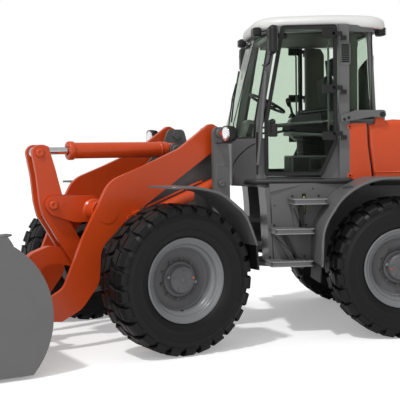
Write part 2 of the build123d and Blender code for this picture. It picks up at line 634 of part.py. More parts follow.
# ---------------------------------------------------------------- front frame
def front_chassis():
    """Main plates rising to the arm towers, outer tower plates, hinge lugs and cross members."""
    main = plate([
        (330, 470, 0), (330, 1060, 0), (405, 1180, 0), (440, 1800, 60), (470, 1905, 50), (640, 1905, 50),
        (700, 1760, 60), (1260, 1180, 60), (1400, 1090, 60), (1520, 1000, 30), (1520, 800, 30),
        (1420, 790, 0),
        (1130, 790, 0), (1130, 560, 0), (1080, 470, 0)], FRAME_HALF - FRAME_PLATE, FRAME_HALF)
    cheek = plate([
        (455, 1090, 0), (455, 1640, 60), (485, 1870, 40), (510, 1905, 35), (605, 1905, 35), (628, 1860, 40),
        (628, 1090, 0)], CHEEK_IN, CHEEK_OUT)
    floor = block((455, 650), (FRAME_HALF, CHEEK_OUT), (1090, 1130))
    back = block((455, 480), (FRAME_HALF, CHEEK_IN), (1130, 1620))
    pivots = bar(ARM_PIVOT, PIN + 6, FRAME_HALF - 50, CHEEK_OUT + 12)
    pivots += bar(LIFT_REAR, PIN - 4, FRAME_HALF - 40, CHEEK_OUT + 10)
    side = main + cheek + floor + back + pivots
    pieces = [side, mirror(side, about=Plane.XZ)]
    inside = (-FRAME_HALF + FRAME_PLATE, FRAME_HALF - FRAME_PLATE)
    pieces.append(block((470, 620), inside, (1480, 1600)))
    pieces.append(block((365, 395), inside, (560, 1150)))
    pieces.append(block((1050, 1440), inside, (795, 820)))
    pieces.append(block((395, 1080), inside, (470, 495)))
    ear = plate([
        (500, 1540, 0), (620, 1540, 0), (TILT_REAR[0] + 55, TILT_REAR[1] - 40, 40),
        (TILT_REAR[0] + 45, TILT_REAR[1] + 55, 40), (TILT_REAR[0] - 60, TILT_REAR[1] + 55, 40),
        (500, 1640, 0)], 62, 92)
    pieces += [ear, mirror(ear, about=Plane.XZ), bar(TILT_REAR, PIN, -100, 100)]
    tongue = [
        (-85, 0, 0), (-62, 58, 0), (0, 85, 0), (60, 110, 0), (330, FRAME_HALF, 0), (420, FRAME_HALF, 0),
        (420, -FRAME_HALF, 0), (330, -FRAME_HALF, 0), (60, -110, 0), (0, -85, 0), (-62, -58, 0)]
    for z in (HINGE_LOW + 40 + GAP, HINGE_HIGH - 36 - GAP):
        pieces.append(slab(tongue, z, z + 36) - post(0, 0, z - 10, z + 60, HINGE_PIN + FIT))
    for s in (1, -1):
        x, y = STEER_FRONT[0], s * STEER_FRONT[1]
        for z in (STEER_Z - 62, STEER_Z + 40):
            pieces.append(slab([
                (x - 40, y - 40, 30), (x - 40, y + 40, 30), (x + 80, y + 50, 0), (x + 80, y - 50, 0)], z,
                z + 22))
    return fuse(pieces)


def front_fender():
    """Round fender close over the wheel, flat on top towards the front, with a hanging flap."""
    s = FENDER_SHEET
    outside = [
        (590, 880, 0), (700, 1160, 260), (940, 1345, 260), (1180, 1400, 120), (1420, 1402, 0)]
    inside = [
        (1420, 1402 - s, 0), (1185, 1400 - s, 120), (950, 1345 - s - 2, 250), (715, 1158 - s, 250),
        (606, 878, 0)]
    sheet = plate(outside + inside, FENDER_INNER + 40, FENDER_OUTER - 5)
    flap = plate([(585, 900, 0), (600, 900, 0), (582, 665, 0), (567, 665, 0)], FENDER_INNER + 85,
        FENDER_OUTER - 25)
    carrier = block((860, 960), (FRAME_HALF, FENDER_INNER + 40), (1060, 1085))
    riser = plate([(860, 1060, 0), (860, 1280, 0), (960, 1330, 0), (960, 1060, 0)], FENDER_INNER + 20,
        FENDER_INNER + 42)
    return sheet + flap + carrier + riser


def headlamp():
    """Rounded lamp on a bracket from the tower's outer plate."""
    body = Pos(590, 757, 1838) * Box(92, 150, 150)
    body = fillet(body.edges().filter_by(Axis.X), 40)
    bracket = block((560, 600), (CHEEK_OUT, 760), (1753, 1765))
    return body + bracket


def lift_arms():
    """Two banana-shaped arms joined by a cross tube that carries the crank's nose plates."""
    rows = [
        (ARM_PIVOT[0] - 85, ARM_PIVOT[1] + 30, 80), (ARM_PIVOT[0] + 40, ARM_PIVOT[1] + 95, 60),
        (930, 1712, 300),
        (1300, 1560, 200), (1620, 1440, 260), (1880, 960, 300), (2060, 540, 130), (2200, 462, 60),
        (BUCKET_PIN[0] + 95, BUCKET_PIN[1] + 95, 85), (BUCKET_PIN[0] + 95, BUCKET_PIN[1] - 95, 85),
        (2085, 258, 20), (1900, 350, 250), (1735, 560, 200), (1715, 860, 200), (1480, 1085, 300),
        (600, 1672, 60),
        (ARM_PIVOT[0] - 85, ARM_PIVOT[1] - 70, 80)]
    arm = plate(rows, ARM_IN, ARM_OUT)
    arm -= bar(ARM_PIVOT, PIN + 6 + FIT, ARM_IN - 10, ARM_OUT + 10)
    arm -= bar(BUCKET_PIN, PIN + 2 + FIT, ARM_IN - 10, ARM_OUT + 10)
    tube = bar(CROSS_TUBE, CROSS_TUBE_RADIUS, -ARM_IN - 5, ARM_IN + 5)
    nose = plate([
        (1570, 1250, 60), (1640, 1306, 40), (CRANK_PIVOT[0] + 20, 1316, 80),
        (CRANK_PIVOT[0] + 85, CRANK_PIVOT[1], 70),
        (CRANK_PIVOT[0] + 20, 1148, 80), (1835, 1076, 60), (1600, 1070, 60)], NOSE_IN, NOSE_OUT)
    fork = plate([
        (1330, 1190, 20), (1480, 1130, 20), (LIFT_FRONT[0] + 62, LIFT_FRONT[1] - 10, 50),
        (LIFT_FRONT[0] + 20, LIFT_FRONT[1] - 62, 50), (LIFT_FRONT[0] - 62, LIFT_FRONT[1] - 20, 50)],
        LIFT_Y - LIFT_FORK - 20, LIFT_Y + LIFT_FORK + 20)
    slot = block((1200, 1600), (LIFT_Y - LIFT_FORK, LIFT_Y + LIFT_FORK), (900, LIFT_FRONT[1] + 100))
    lug = fork - slot
    pin = bar(LIFT_FRONT, PIN - 4, LIFT_Y - LIFT_FORK - 26, LIFT_Y - LIFT_EYE - 4)
    pin += bar(LIFT_FRONT, PIN - 4, LIFT_Y + LIFT_EYE + 4, LIFT_Y + LIFT_FORK + 26)
    crank_pin = bar(CRANK_PIVOT, PIN + 4, -NOSE_OUT - 12, NOSE_OUT + 12)
    pieces = [tube, crank_pin]
    for solid in (arm, nose, lug, pin):
        pieces += [solid, mirror(solid, about=Plane.XZ)]
    return fuse(pieces)


def bell_crank():
    """Two cheeks with a spacer: forked at the top for the tilt rod and at the foot for the link."""
    rows = [
        (CRANK_TOP[0] - 75, CRANK_TOP[1] + 70, 70), (CRANK_TOP[0] + 85, CRANK_TOP[1] + 70, 75),
        (2160, 1500, 200),
        (2135, CRANK_PIVOT[1] + 20, 120), (2105, 1130, 60), (CRANK_LOW[0] + 60, CRANK_LOW[1] - 40, 60),
        (CRANK_LOW[0] - 50, CRANK_LOW[1] - 72, 66), (CRANK_LOW[0] - 85, CRANK_LOW[1] + 50, 66),
        (1880, 1110, 200), (1925, 1310, 100), (1990, 1560, 120)]
    cheek = plate(rows, CRANK_IN, CRANK_OUT) - bar(CRANK_PIVOT, PIN + 4 + FIT, 0, 200)
    spacer = plate([
        (1945, 1330, 20), (2110, 1330, 20), (2080, 1130, 20), (1930, 1060, 20)], -CRANK_IN - 2, CRANK_IN + 2)
    spacer -= bar(CRANK_PIVOT, PIN + 4 + FIT, -200, 200)
    heads = bar(CRANK_TOP, PIN, EYE_HALF + 4, CRANK_OUT + 6)
    low = bar(CRANK_LOW, PIN, -CRANK_OUT - 6, CRANK_OUT + 6)
    return fuse([cheek, mirror(cheek, about=Plane.XZ), spacer, heads, mirror(heads, about=Plane.XZ), low])


def bucket_link():
    """Banana-shaped link from the crank's foot to the coupler's lever."""
    rows = [
        (CRANK_LOW[0] - 78, CRANK_LOW[1] - 10, 60), (CRANK_LOW[0] - 20, CRANK_LOW[1] + 80, 70),
        (2040, 868, 160),
        (2230, 800, 160), (LINK_FRONT[0] + 72, LINK_FRONT[1] + 20, 62),
        (LINK_FRONT[0] + 20, LINK_FRONT[1] - 76, 62),
        (LINK_FRONT[0] - 70, LINK_FRONT[1] - 30, 62), (2090, 700, 100), (1950, 705, 100),
        (CRANK_LOW[0] + 10, CRANK_LOW[1] - 80, 66)]
    link = plate(rows, -EYE_HALF, EYE_HALF) - bar(CRANK_LOW, PIN + FIT, -100, 100)
    return link


def tilt_barrel():
    length = TILT_BARREL_END - TILT_REAR[0]
    z = TILT_REAR[1]
    tube = rod((TILT_REAR[0] + 60, 0, z), (TILT_BARREL_END, 0, z), TILT_BORE_RADIUS)
    tube -= rod((TILT_REAR[0] + 110, 0, z), (TILT_BARREL_END + 5, 0, z), TILT_ROD_RADIUS + FIT)
    eye = bar(TILT_REAR, 62, -54, 54) + block((TILT_REAR[0], TILT_REAR[0] + 70), (-50, 50), (z - 45, z + 45))
    eye -= bar(TILT_REAR, PIN + FIT, -60, 60)
    gland = rod((TILT_BARREL_END - 30, 0, z), (TILT_BARREL_END, 0, z), TILT_BORE_RADIUS + 8)
    gland -= rod((TILT_BARREL_END - 40, 0, z), (TILT_BARREL_END + 5, 0, z), TILT_ROD_RADIUS + FIT)
    return tube + eye + gland if length > 0 else None


def tilt_rod():
    z_rear, z = TILT_REAR[1], CRANK_TOP[1]
    shaft = rod((TILT_REAR[0] + 640, 0, z_rear), (CRANK_TOP[0] - 40, 0, z_rear), TILT_ROD_RADIUS)
    neck = block((CRANK_TOP[0] - 90, CRANK_TOP[0]), (4 - EYE_HALF, EYE_HALF - 4), (z - 30, z + 45))
    return shaft + neck + bar(CRANK_TOP, 58, -EYE_HALF, EYE_HALF)


def lift_cylinder():
    """Barrel and rod drawn on their centre line, at the left."""
    (xa, za), (xb, zb) = LIFT_REAR, LIFT_FRONT
    length = hypot(xb - xa, zb - za)
    ux, uz = (xb - xa) / length, (zb - za) / length

    def at(distance):
        return (xa + ux * distance, LIFT_Y, za + uz * distance)

    tube = rod(at(45), at(LIFT_BARREL), LIFT_BORE_RADIUS) - rod(at(90), at(LIFT_BARREL + 5),
        LIFT_ROD_RADIUS + FIT)
    tube = tube + bar(LIFT_REAR, 50, LIFT_Y - 50, LIFT_Y + 50)
    tube = tube - bar(LIFT_REAR, PIN - 4 + FIT, LIFT_Y - 80, LIFT_Y + 80)
    shaft = rod(at(length - 745), at(length - 20), LIFT_ROD_RADIUS)
    shaft += bar(LIFT_FRONT, 46, LIFT_Y - LIFT_EYE, LIFT_Y + LIFT_EYE)
    return tube, shaft


def steer_cylinder(side):
    """Barrel and rod between their pins at the parked angle; side is 1 for the left."""
    xa, ya = STEER_REAR[0], side * STEER_REAR[1]
    turned = Vector(STEER_FRONT[0], side * STEER_FRONT[1], 0).rotate(Axis.Z, STEER_REST)
    xb, yb = turned.X, turned.Y
    length = hypot(xb - xa, yb - ya)
    ux, uy = (xb - xa) / length, (yb - ya) / length

    def at(distance):
        return (xa + ux * distance, ya + uy * distance, STEER_Z)

    tube = rod(at(30), at(470), STEER_BORE_RADIUS) + post(xa, ya, STEER_Z - 34, STEER_Z + 34, 36)
    tube -= rod(at(60), at(480), STEER_ROD_RADIUS + FIT)
    tube -= post(xa, ya, STEER_Z - 80, STEER_Z + 80, STEER_PIN + FIT)
    shaft = rod(at(length - 500), at(length - 20), STEER_ROD_RADIUS) + post(xb, yb, STEER_Z - 34,
        STEER_Z + 34, 34)
    return tube, shaft


# ---------------------------------------------------------------- coupler and bucket
def coupler():
    """Quick coupler: side plates on the arm tips, lever cheeks, cross tube and hook pins."""
    x, z = BUCKET_PIN
    rows = [
        (x - 75, z - 20, 60), (x - 60, z + 230, 40), (x + 40, z + 330, 30), (x + 110, z + 300, 20),
        (x + 130, z - 40, 20), (x + 60, z - 80, 40)]
    side_rows = (ARM_IN - 12 - 45, ARM_IN - 12)
    side = plate(rows, *side_rows)
    pins = bar(BUCKET_PIN, PIN + 2, side_rows[0], ARM_OUT + 20)
    lever = plate([
        (x - 80, z - 30, 60), (LINK_FRONT[0] - 90, LINK_FRONT[1] + 20, 70),
        (LINK_FRONT[0] - 20, LINK_FRONT[1] + 100, 80),
        (LINK_FRONT[0] + 110, LINK_FRONT[1] + 60, 40), (x + 130, z - 40, 20), (x + 40, z - 80, 40)],
        CRANK_IN, CRANK_OUT)
    tube = block((x + 60, x + 125), (-ARM_IN + 20, ARM_IN - 20), (z - 30, z + 60))
    heads = bar(LINK_FRONT, PIN, EYE_HALF + 4, CRANK_OUT + 6)
    hook_pin = bar((x + 45, z + 262), 24, -ARM_IN - 60, ARM_IN + 60)
    hook_pin -= block((x - 100, x + 200), (-CRANK_IN - 10, CRANK_IN + 10), (z + 100, z + 400))
    pieces = [tube, hook_pin]
    for solid in (side, pins, lever, heads):
        pieces += [solid, mirror(solid, about=Plane.XZ)]
    return fuse(pieces)


def bucket_curve(radius):
    """Point on the rounded back at an angle in degrees."""
    cx, cz = BUCKET_CENTRE
    return lambda angle: (cx + radius * cos(radians(angle)), cz + radius * sin(radians(angle)))


BACK_LOW, BACK_TOP = 222.8, 119.9


def bucket():
    """Rounded back and flat floor in one sheet, side plates, lip, top rail and hooks."""
    out, inn = bucket_curve(BUCKET_RADIUS), bucket_curve(BUCKET_RADIUS - BUCKET_SHEET)
    mid = (BACK_LOW + BACK_TOP) / 2
    z0 = BUCKET_FLOOR_Z
    outer = [
        Line((BUCKET_LIP, z0), out(BACK_LOW)), ThreePointArc(out(BACK_LOW), out(mid), out(BACK_TOP)),
        Line(out(BACK_TOP), inn(BACK_TOP)), ThreePointArc(inn(BACK_TOP), inn(mid), inn(BACK_LOW - 1.2)),
        Line(inn(BACK_LOW - 1.2), (BUCKET_LIP - 60, z0 + BUCKET_SHEET + 6)),
        Line((BUCKET_LIP - 60, z0 + BUCKET_SHEET + 6), (BUCKET_LIP, z0))]
    sheet_face = Plane.XZ * make_face(outer)
    sheet = Pos(0, BUCKET_HALF, 0) * extrude(sheet_face, amount=2 * BUCKET_HALF)
    side_edges = [
        Line((BUCKET_LIP - 40, z0), out(BACK_LOW)), ThreePointArc(out(BACK_LOW), out(mid), out(BACK_TOP)),
        Line(out(BACK_TOP), (2900, 1030)), Line((2900, 1030), (3330, 330)),
            Line((3330, 330), (BUCKET_LIP - 40, z0))]
    side = Plane.XZ * make_face(side_edges)
    side = Pos(0, BUCKET_HALF, 0) * extrude(side, amount=20)
    rail = plate([(2740, 1000, 10), (2790, 1080, 10), (2860, 1080, 10), (2860, 1010, 10)], -BUCKET_HALF,
        BUCKET_HALF)
    edge = block((BUCKET_LIP - 230, BUCKET_LIP), (-BUCKET_HALF, BUCKET_HALF), (z0 - 22, z0 + 2))
    hook = plate([
        (BUCKET_PIN[0] + 5, BUCKET_PIN[1] + 250, 20), (BUCKET_PIN[0] + 5, BUCKET_PIN[1] + 330, 30),
        (2600, 800, 0), (2500, 500, 0), (BUCKET_PIN[0] + 135, BUCKET_PIN[1] + 90, 0)],
        ARM_IN + 3, ARM_IN + 35)
    hook -= bar((BUCKET_PIN[0] + 45, BUCKET_PIN[1] + 262), 24 + FIT, 300, 500)
    inside = Plane.XZ * make_face([
        Line((BUCKET_LIP, z0 + BUCKET_SHEET), inn(BACK_LOW)),
            ThreePointArc(inn(BACK_LOW), inn(mid), inn(BACK_TOP)),
        Line(inn(BACK_TOP), (BUCKET_LIP, 1200)), Line((BUCKET_LIP, 1200), (BUCKET_LIP, z0 + BUCKET_SHEET))])
    inside = Pos(0, BUCKET_HALF, 0) * extrude(inside, amount=2 * BUCKET_HALF)
    hook -= inside
    pieces = [sheet, rail, edge]
    for solid in (side, hook):
        pieces += [solid, mirror(solid, about=Plane.XZ)]
    return fuse(pieces)


# ---------------------------------------------------------------- assembly
def build():
    make_wheels()
    place("rear_axle", make_axle(REAR_AXLE, 830))
    place("front_axle", make_axle(FRONT_AXLE, 790), True)
    place("rear_chassis", fuse([rear_chassis(), sills(), mirror(sills(), about=Plane.XZ)]))
    place("tank_l", tank("l"))
    place("tank_r", tank("r"))
    place("rear_fenders", both(rear_fender()))
    place("counterweight", counterweight())
    place("radiator_housing", tail())
    place("radiator_grille", grille())
    engine_half = FRAME_HALF - FRAME_PLATE
    place("engine_block", block((-2230, -1260), (-engine_half, engine_half), (860, ENGINE_TOP)))
    place("hood", hood())
    place("hood_arms", hood_arms())
    place("hood_side_panels", hood_side_panels())
    place("exhaust_stack", exhaust())
    place("cab_frame", cab_frame())
    place("cab_roof", cab_roof())
    place("cab_glass", cab_glass())
    for side in ("l", "r"):
        frame, glass = door(side)
        place(f"door_{side}", frame)
        place(f"door_glass_{side}", glass)
    place("seat", seat())
    place("seat_base", seat_base())
    place("steering_column", steering_column())
    place("control_console", control_console())
    place("mirrors", mirrors())
    place("work_lamps", work_lamps())
    place("grab_rails", grab_rails())
    place("front_chassis", front_chassis(), True)
    place("front_fenders", both(front_fender()), True)
    place("headlamps", both(headlamp()), True)
    place("lift_arms", lift_arms(), True)
    place("bell_crank", bell_crank(), True)
    place("bucket_link", bucket_link(), True)
    place("coupler", coupler(), True)
    place("bucket", bucket(), True)
    place("tilt_barrel", tilt_barrel(), True)
    place("tilt_rod", tilt_rod(), True)
    for side, sign in (("l", 1), ("r", -1)):
        barrel, shaft = steer_cylinder(sign)
        place(f"steer_barrel_{side}", barrel)
        place(f"steer_rod_{side}", shaft)
    barrel, shaft = lift_cylinder()
    for name, solid in (("lift_barrel", barrel), ("lift_rod", shaft)):
        place(f"{name}_l", solid, True)
        place(f"{name}_r", mirror(solid, about=Plane.XZ), True)
    return parts


if __name__ == "__main__":
    build()
    os.makedirs("parts", exist_ok=True)
    for node, solid in parts.items():
        export_step(solid, f"parts/{node}.step")
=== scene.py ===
import json
import math

import bmesh
import bpy
from mathutils import Matrix, Vector

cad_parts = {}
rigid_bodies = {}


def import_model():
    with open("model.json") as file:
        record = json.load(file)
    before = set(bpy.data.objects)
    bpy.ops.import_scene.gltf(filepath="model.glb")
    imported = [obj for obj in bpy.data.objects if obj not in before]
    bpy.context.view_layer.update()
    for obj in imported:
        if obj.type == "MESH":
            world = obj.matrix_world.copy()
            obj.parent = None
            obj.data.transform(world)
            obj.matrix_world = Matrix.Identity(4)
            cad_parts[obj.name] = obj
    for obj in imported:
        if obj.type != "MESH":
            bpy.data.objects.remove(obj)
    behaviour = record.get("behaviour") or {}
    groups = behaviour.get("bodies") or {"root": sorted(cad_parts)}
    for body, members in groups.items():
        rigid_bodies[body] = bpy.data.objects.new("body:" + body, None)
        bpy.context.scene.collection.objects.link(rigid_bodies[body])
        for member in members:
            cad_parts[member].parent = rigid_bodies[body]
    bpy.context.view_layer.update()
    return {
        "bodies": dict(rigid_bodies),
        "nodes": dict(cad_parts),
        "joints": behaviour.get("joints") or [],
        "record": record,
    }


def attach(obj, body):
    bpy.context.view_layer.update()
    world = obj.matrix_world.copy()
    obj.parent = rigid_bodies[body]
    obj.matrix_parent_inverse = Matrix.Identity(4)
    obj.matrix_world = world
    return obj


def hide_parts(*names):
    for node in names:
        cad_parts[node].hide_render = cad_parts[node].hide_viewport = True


bl_info = {
    "name": "Wheel loader looks",
    "version": (1, 0, 0),
    "blender": (4, 5, 0),
    "location": "View3D > Sidebar > Loader",
    "description": "Finishes and small parts for the articulated wheel loader",
    "category": "Object",
}

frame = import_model()

# ---------------------------------------------------------------- sizes shared with the solids, millimetres
HINGE = (-488.0, -658.0)      # steering hinge in the row frame
STEER_REST = 24.0
AXLE_X = 1275.0
AXLE_Z = 627.0
HALF_TRACK = 1000.0
TYRE_RADIUS = 627.0
WHEELS = {
    # axle's x in its own half frame, side, on the front half
    "fl": (AXLE_X, 1, True), "fr": (AXLE_X, -1, True), "rl": (-AXLE_X, 1, False), "rr": (-AXLE_X, -1, False)}

AT_HINGE = Matrix.Translation((HINGE[0] / 1000, HINGE[1] / 1000, 0))
MILLIMETRES = Matrix.Scale(0.001, 4)
REAR = AT_HINGE @ MILLIMETRES
FRONT = AT_HINGE @ Matrix.Rotation(math.radians(STEER_REST), 4, "Z") @ MILLIMETRES
MIRRORED = Matrix.Diagonal((1, -1, 1, 1))


def both_sides(half):
    """Left and right of a half frame: a tag for names, and axes with y outwards."""
    return (("left", half), ("right", half @ MIRRORED))


# ---------------------------------------------------------------- materials
def srgb(r, g, b):
    """A colour given in the usual 0 to 255 steps, as the linear values a shader takes."""
    def lin(c):
        c /= 255
        return c / 12.92 if c <= 0.04045 else ((c + 0.055) / 1.055) ** 2.4
    return (lin(r), lin(g), lin(b), 1.0)


def set_inputs(tree, node, inputs):
    """Links an input that is given as a socket and sets any other to its value."""
    for name, value in inputs.items():
        if isinstance(value, bpy.types.NodeSocket):
            tree.links.new(value, node.inputs[name])
        else:
            node.inputs[name].default_value = value


def add_node(tree, kind, inputs=None, **settings):
    """New node with its settings and inputs."""
    node = tree.nodes.new(kind)
    for name, value in settings.items():
        setattr(node, name, value)
    set_inputs(tree, node, inputs or {})
    return node


def new_material(name):
    """New material, its tree and its shader."""
    m = bpy.data.materials.new(name)
    m.use_nodes = True
    return m, m.node_tree, m.node_tree.nodes["Principled BSDF"]


def two_tones(t, scale, detail, dark, light, span):
    """The piece's own place, a noise on it, and a colour that runs from dark to light with the noise."""
    place = add_node(t, "ShaderNodeTexCoord").outputs["Object"]
    noise = add_node(t, "ShaderNodeTexNoise", {"Scale": scale, "Detail": detail, "Vector": place}).outputs["Fac"]
    ramp = add_node(t, "ShaderNodeValToRGB", {"Fac": noise})
    for stop, position, colour in zip(ramp.color_ramp.elements, span, (dark, light)):
        stop.position, stop.color = position, colour
    return place, noise, ramp.outputs["Color"]


def coat(name, colour, rough=0.4, metal=0.0, spread=0.06, scale=9.0, bump=0.0, bump_scale=300.0, coat_weight=0.0,
         dirt=0.0, spec=0.5):
    """Procedural finish: two close tones over a noise, a roughness that varies with it and a fine grain."""
    m, t, shader = new_material(name)
    dark, light = ((*(min(1, c * k) for c in colour[:3]), 1) for k in (1 - spread, 1 + spread))
    place, noise, out = two_tones(t, scale, 4.0, dark, light, (0.3, 0.72))
    if dirt:
        low = add_node(t, "ShaderNodeSeparateXYZ", {"Vector": place})
        height = add_node(t, "ShaderNodeMapRange", {
            "Value": low.outputs["Z"], "From Min": 0.1, "From Max": 0.9, "To Min": dirt, "To Max": 0.0})
        times = add_node(t, "ShaderNodeMath", {0: height.outputs["Result"], 1: noise}, operation="MULTIPLY")
        mix = add_node(t, "ShaderNodeMix", {
            "Factor": times.outputs["Value"], "A": out, "B": srgb(120, 112, 100)}, data_type="RGBA")
        out = mix.outputs["Result"]
    wear = add_node(t, "ShaderNodeMapRange", {
        "Value": noise, "To Min": max(0.02, rough - 0.06), "To Max": min(1, rough + 0.08)})
    set_inputs(t, shader, {
        "Metallic": metal, "Specular IOR Level": spec, "Coat Weight": coat_weight, "Coat Roughness": 0.12,
        "Base Color": out, "Roughness": wear.outputs["Result"]})
    if bump:
        grain = add_node(t, "ShaderNodeTexNoise", {"Scale": bump_scale, "Detail": 2.0, "Vector": place})
        relief = add_node(t, "ShaderNodeBump", {
            "Strength": bump, "Distance": 0.001, "Height": grain.outputs["Fac"]})
        set_inputs(t, shader, {"Normal": relief.outputs["Normal"]})
    return m


def pane(name, tint, rough=0.0, ior=1.12):
    """Clear tinted glass that colours what is seen through it, with a sharp sheen at a slant."""
    m, t, shader = new_material(name)
    dark = (*(c * 0.96 for c in tint[:3]), 1)
    out = two_tones(t, 3.0, 2.0, dark, tint, (0, 1))[-1]
    set_inputs(t, shader, {"Roughness": rough, "IOR": ior, "Transmission Weight": 1.0, "Base Color": out})
    return m


M = {}


def make_materials(orange, grey):
    M["body_orange"] = coat("Body orange enamel", (*orange, 1), 0.34, spread=0.05, coat_weight=0.14, scale=2.5)
    M["machine_grey"] = coat("Machine grey enamel", (*grey, 1), 0.42, spread=0.05, coat_weight=0.15, scale=3.0,
        dirt=0.05)
    M["dark_grey"] = coat("Dark chassis paint", srgb(46, 46, 48), 0.5, spread=0.1, dirt=0.06)
    M["trim_black"] = coat("Moulded black trim", srgb(15, 15, 16), 0.42, spread=0.15, bump=0.15, bump_scale=420)
    M["seal_black"] = coat("Rubber seal", srgb(10, 10, 11), 0.55, spread=0.15)
    M["roof_white"] = coat("Roof white", srgb(226, 226, 224), 0.4, spread=0.02, coat_weight=0.2, scale=2.0)
    M["bucket_grey"] = coat("Bucket grey", srgb(102, 102, 103), 0.5, spread=0.04, scale=4.0, dirt=0.05)
    M["rod_chrome"] = coat("Hard chrome", (0.78, 0.78, 0.80, 1), 0.12, metal=1.0, spread=0.03, scale=25)
    M["steel"] = coat("Zinc plated steel", (0.48, 0.48, 0.50, 1), 0.34, metal=1.0, spread=0.12, scale=60)
    M["stack_grey"] = coat("Heat dulled stack", srgb(62, 62, 64), 0.38, metal=0.5, spread=0.15, scale=12)
    M["rim_grey"] = coat("Rim silver grey", srgb(112, 113, 115), 0.36, spread=0.04, coat_weight=0.15, scale=6,
        dirt=0.05)
    # Darker than the rim: painted shade of the wheel's dished centre, used on the disc, nuts, lobes and hub.
    M["hub_shade_grey"] = coat("Hub grey as painted shade", srgb(86, 86, 88), 0.42, spread=0.08, scale=8)
    M["tyre_rubber"] = coat(
        "Tyre rubber", srgb(12, 12, 13), 0.46, spread=0.16, bump=0.2, bump_scale=160, scale=14, spec=0.3)
    M["seat_fabric"] = coat("Seat cloth", srgb(26, 27, 30), 0.8, spread=0.12, bump=0.5, bump_scale=700, scale=40)
    M["console_grey"] = coat("Console plastic", srgb(104, 106, 104), 0.5, spread=0.08, bump=0.1)
    M["lamp_lens"] = pane("Clear lamp lens", srgb(250, 250, 252), 0.02, 1.3)
    M["reflector"] = coat("Lamp reflector", (0.9, 0.9, 0.9, 1), 0.1, metal=1.0, spread=0.02)
    M["window_glass"] = pane("Tinted cab glass", srgb(222, 233, 222))
    M["lens_amber"] = coat("Amber lens", srgb(226, 92, 30), 0.2, spread=0.05, coat_weight=0.5)
    M["lens_red"] = coat("Red lens", srgb(170, 22, 20), 0.2, spread=0.05, coat_weight=0.5)
    M["lining"] = coat("Cab lining", srgb(66, 68, 60), 0.6, spread=0.05, bump=0.1)
    M["step_grey"] = coat("Worn step edge", srgb(150, 150, 152), 0.45, spread=0.08, scale=14)
    M["gauge"] = coat("Gauge tube", srgb(176, 168, 92), 0.25, spread=0.08, coat_weight=0.4)
    M["blank_plate"] = coat("Blank sign plate", srgb(178, 180, 176), 0.35, spread=0.03)
    M["mirror_face"] = coat("Mirror silvering", (0.85, 0.86, 0.87, 1), 0.04, metal=1.0, spread=0.01)


SLOT_LOOK = {
    # slots of the solids whose finish has another name
    "frame_black": "dark_grey", "axle_grey": "dark_grey", "engine_grey": "dark_grey", "cab_grey": "machine_grey",
    "door_black": "seal_black", "arm_grey": "machine_grey", "rubber_black": "seal_black"}


# ---------------------------------------------------------------- mesh helpers
def new_object(name, bm, finishes=()):
    """Object made from a bmesh, which is then freed."""
    mesh = bpy.data.meshes.new(name)
    bm.to_mesh(mesh)
    bm.free()
    for look in finishes:
        mesh.materials.append(M[look])
    ob = bpy.data.objects.new(name, mesh)
    bpy.context.scene.collection.objects.link(ob)
    return ob


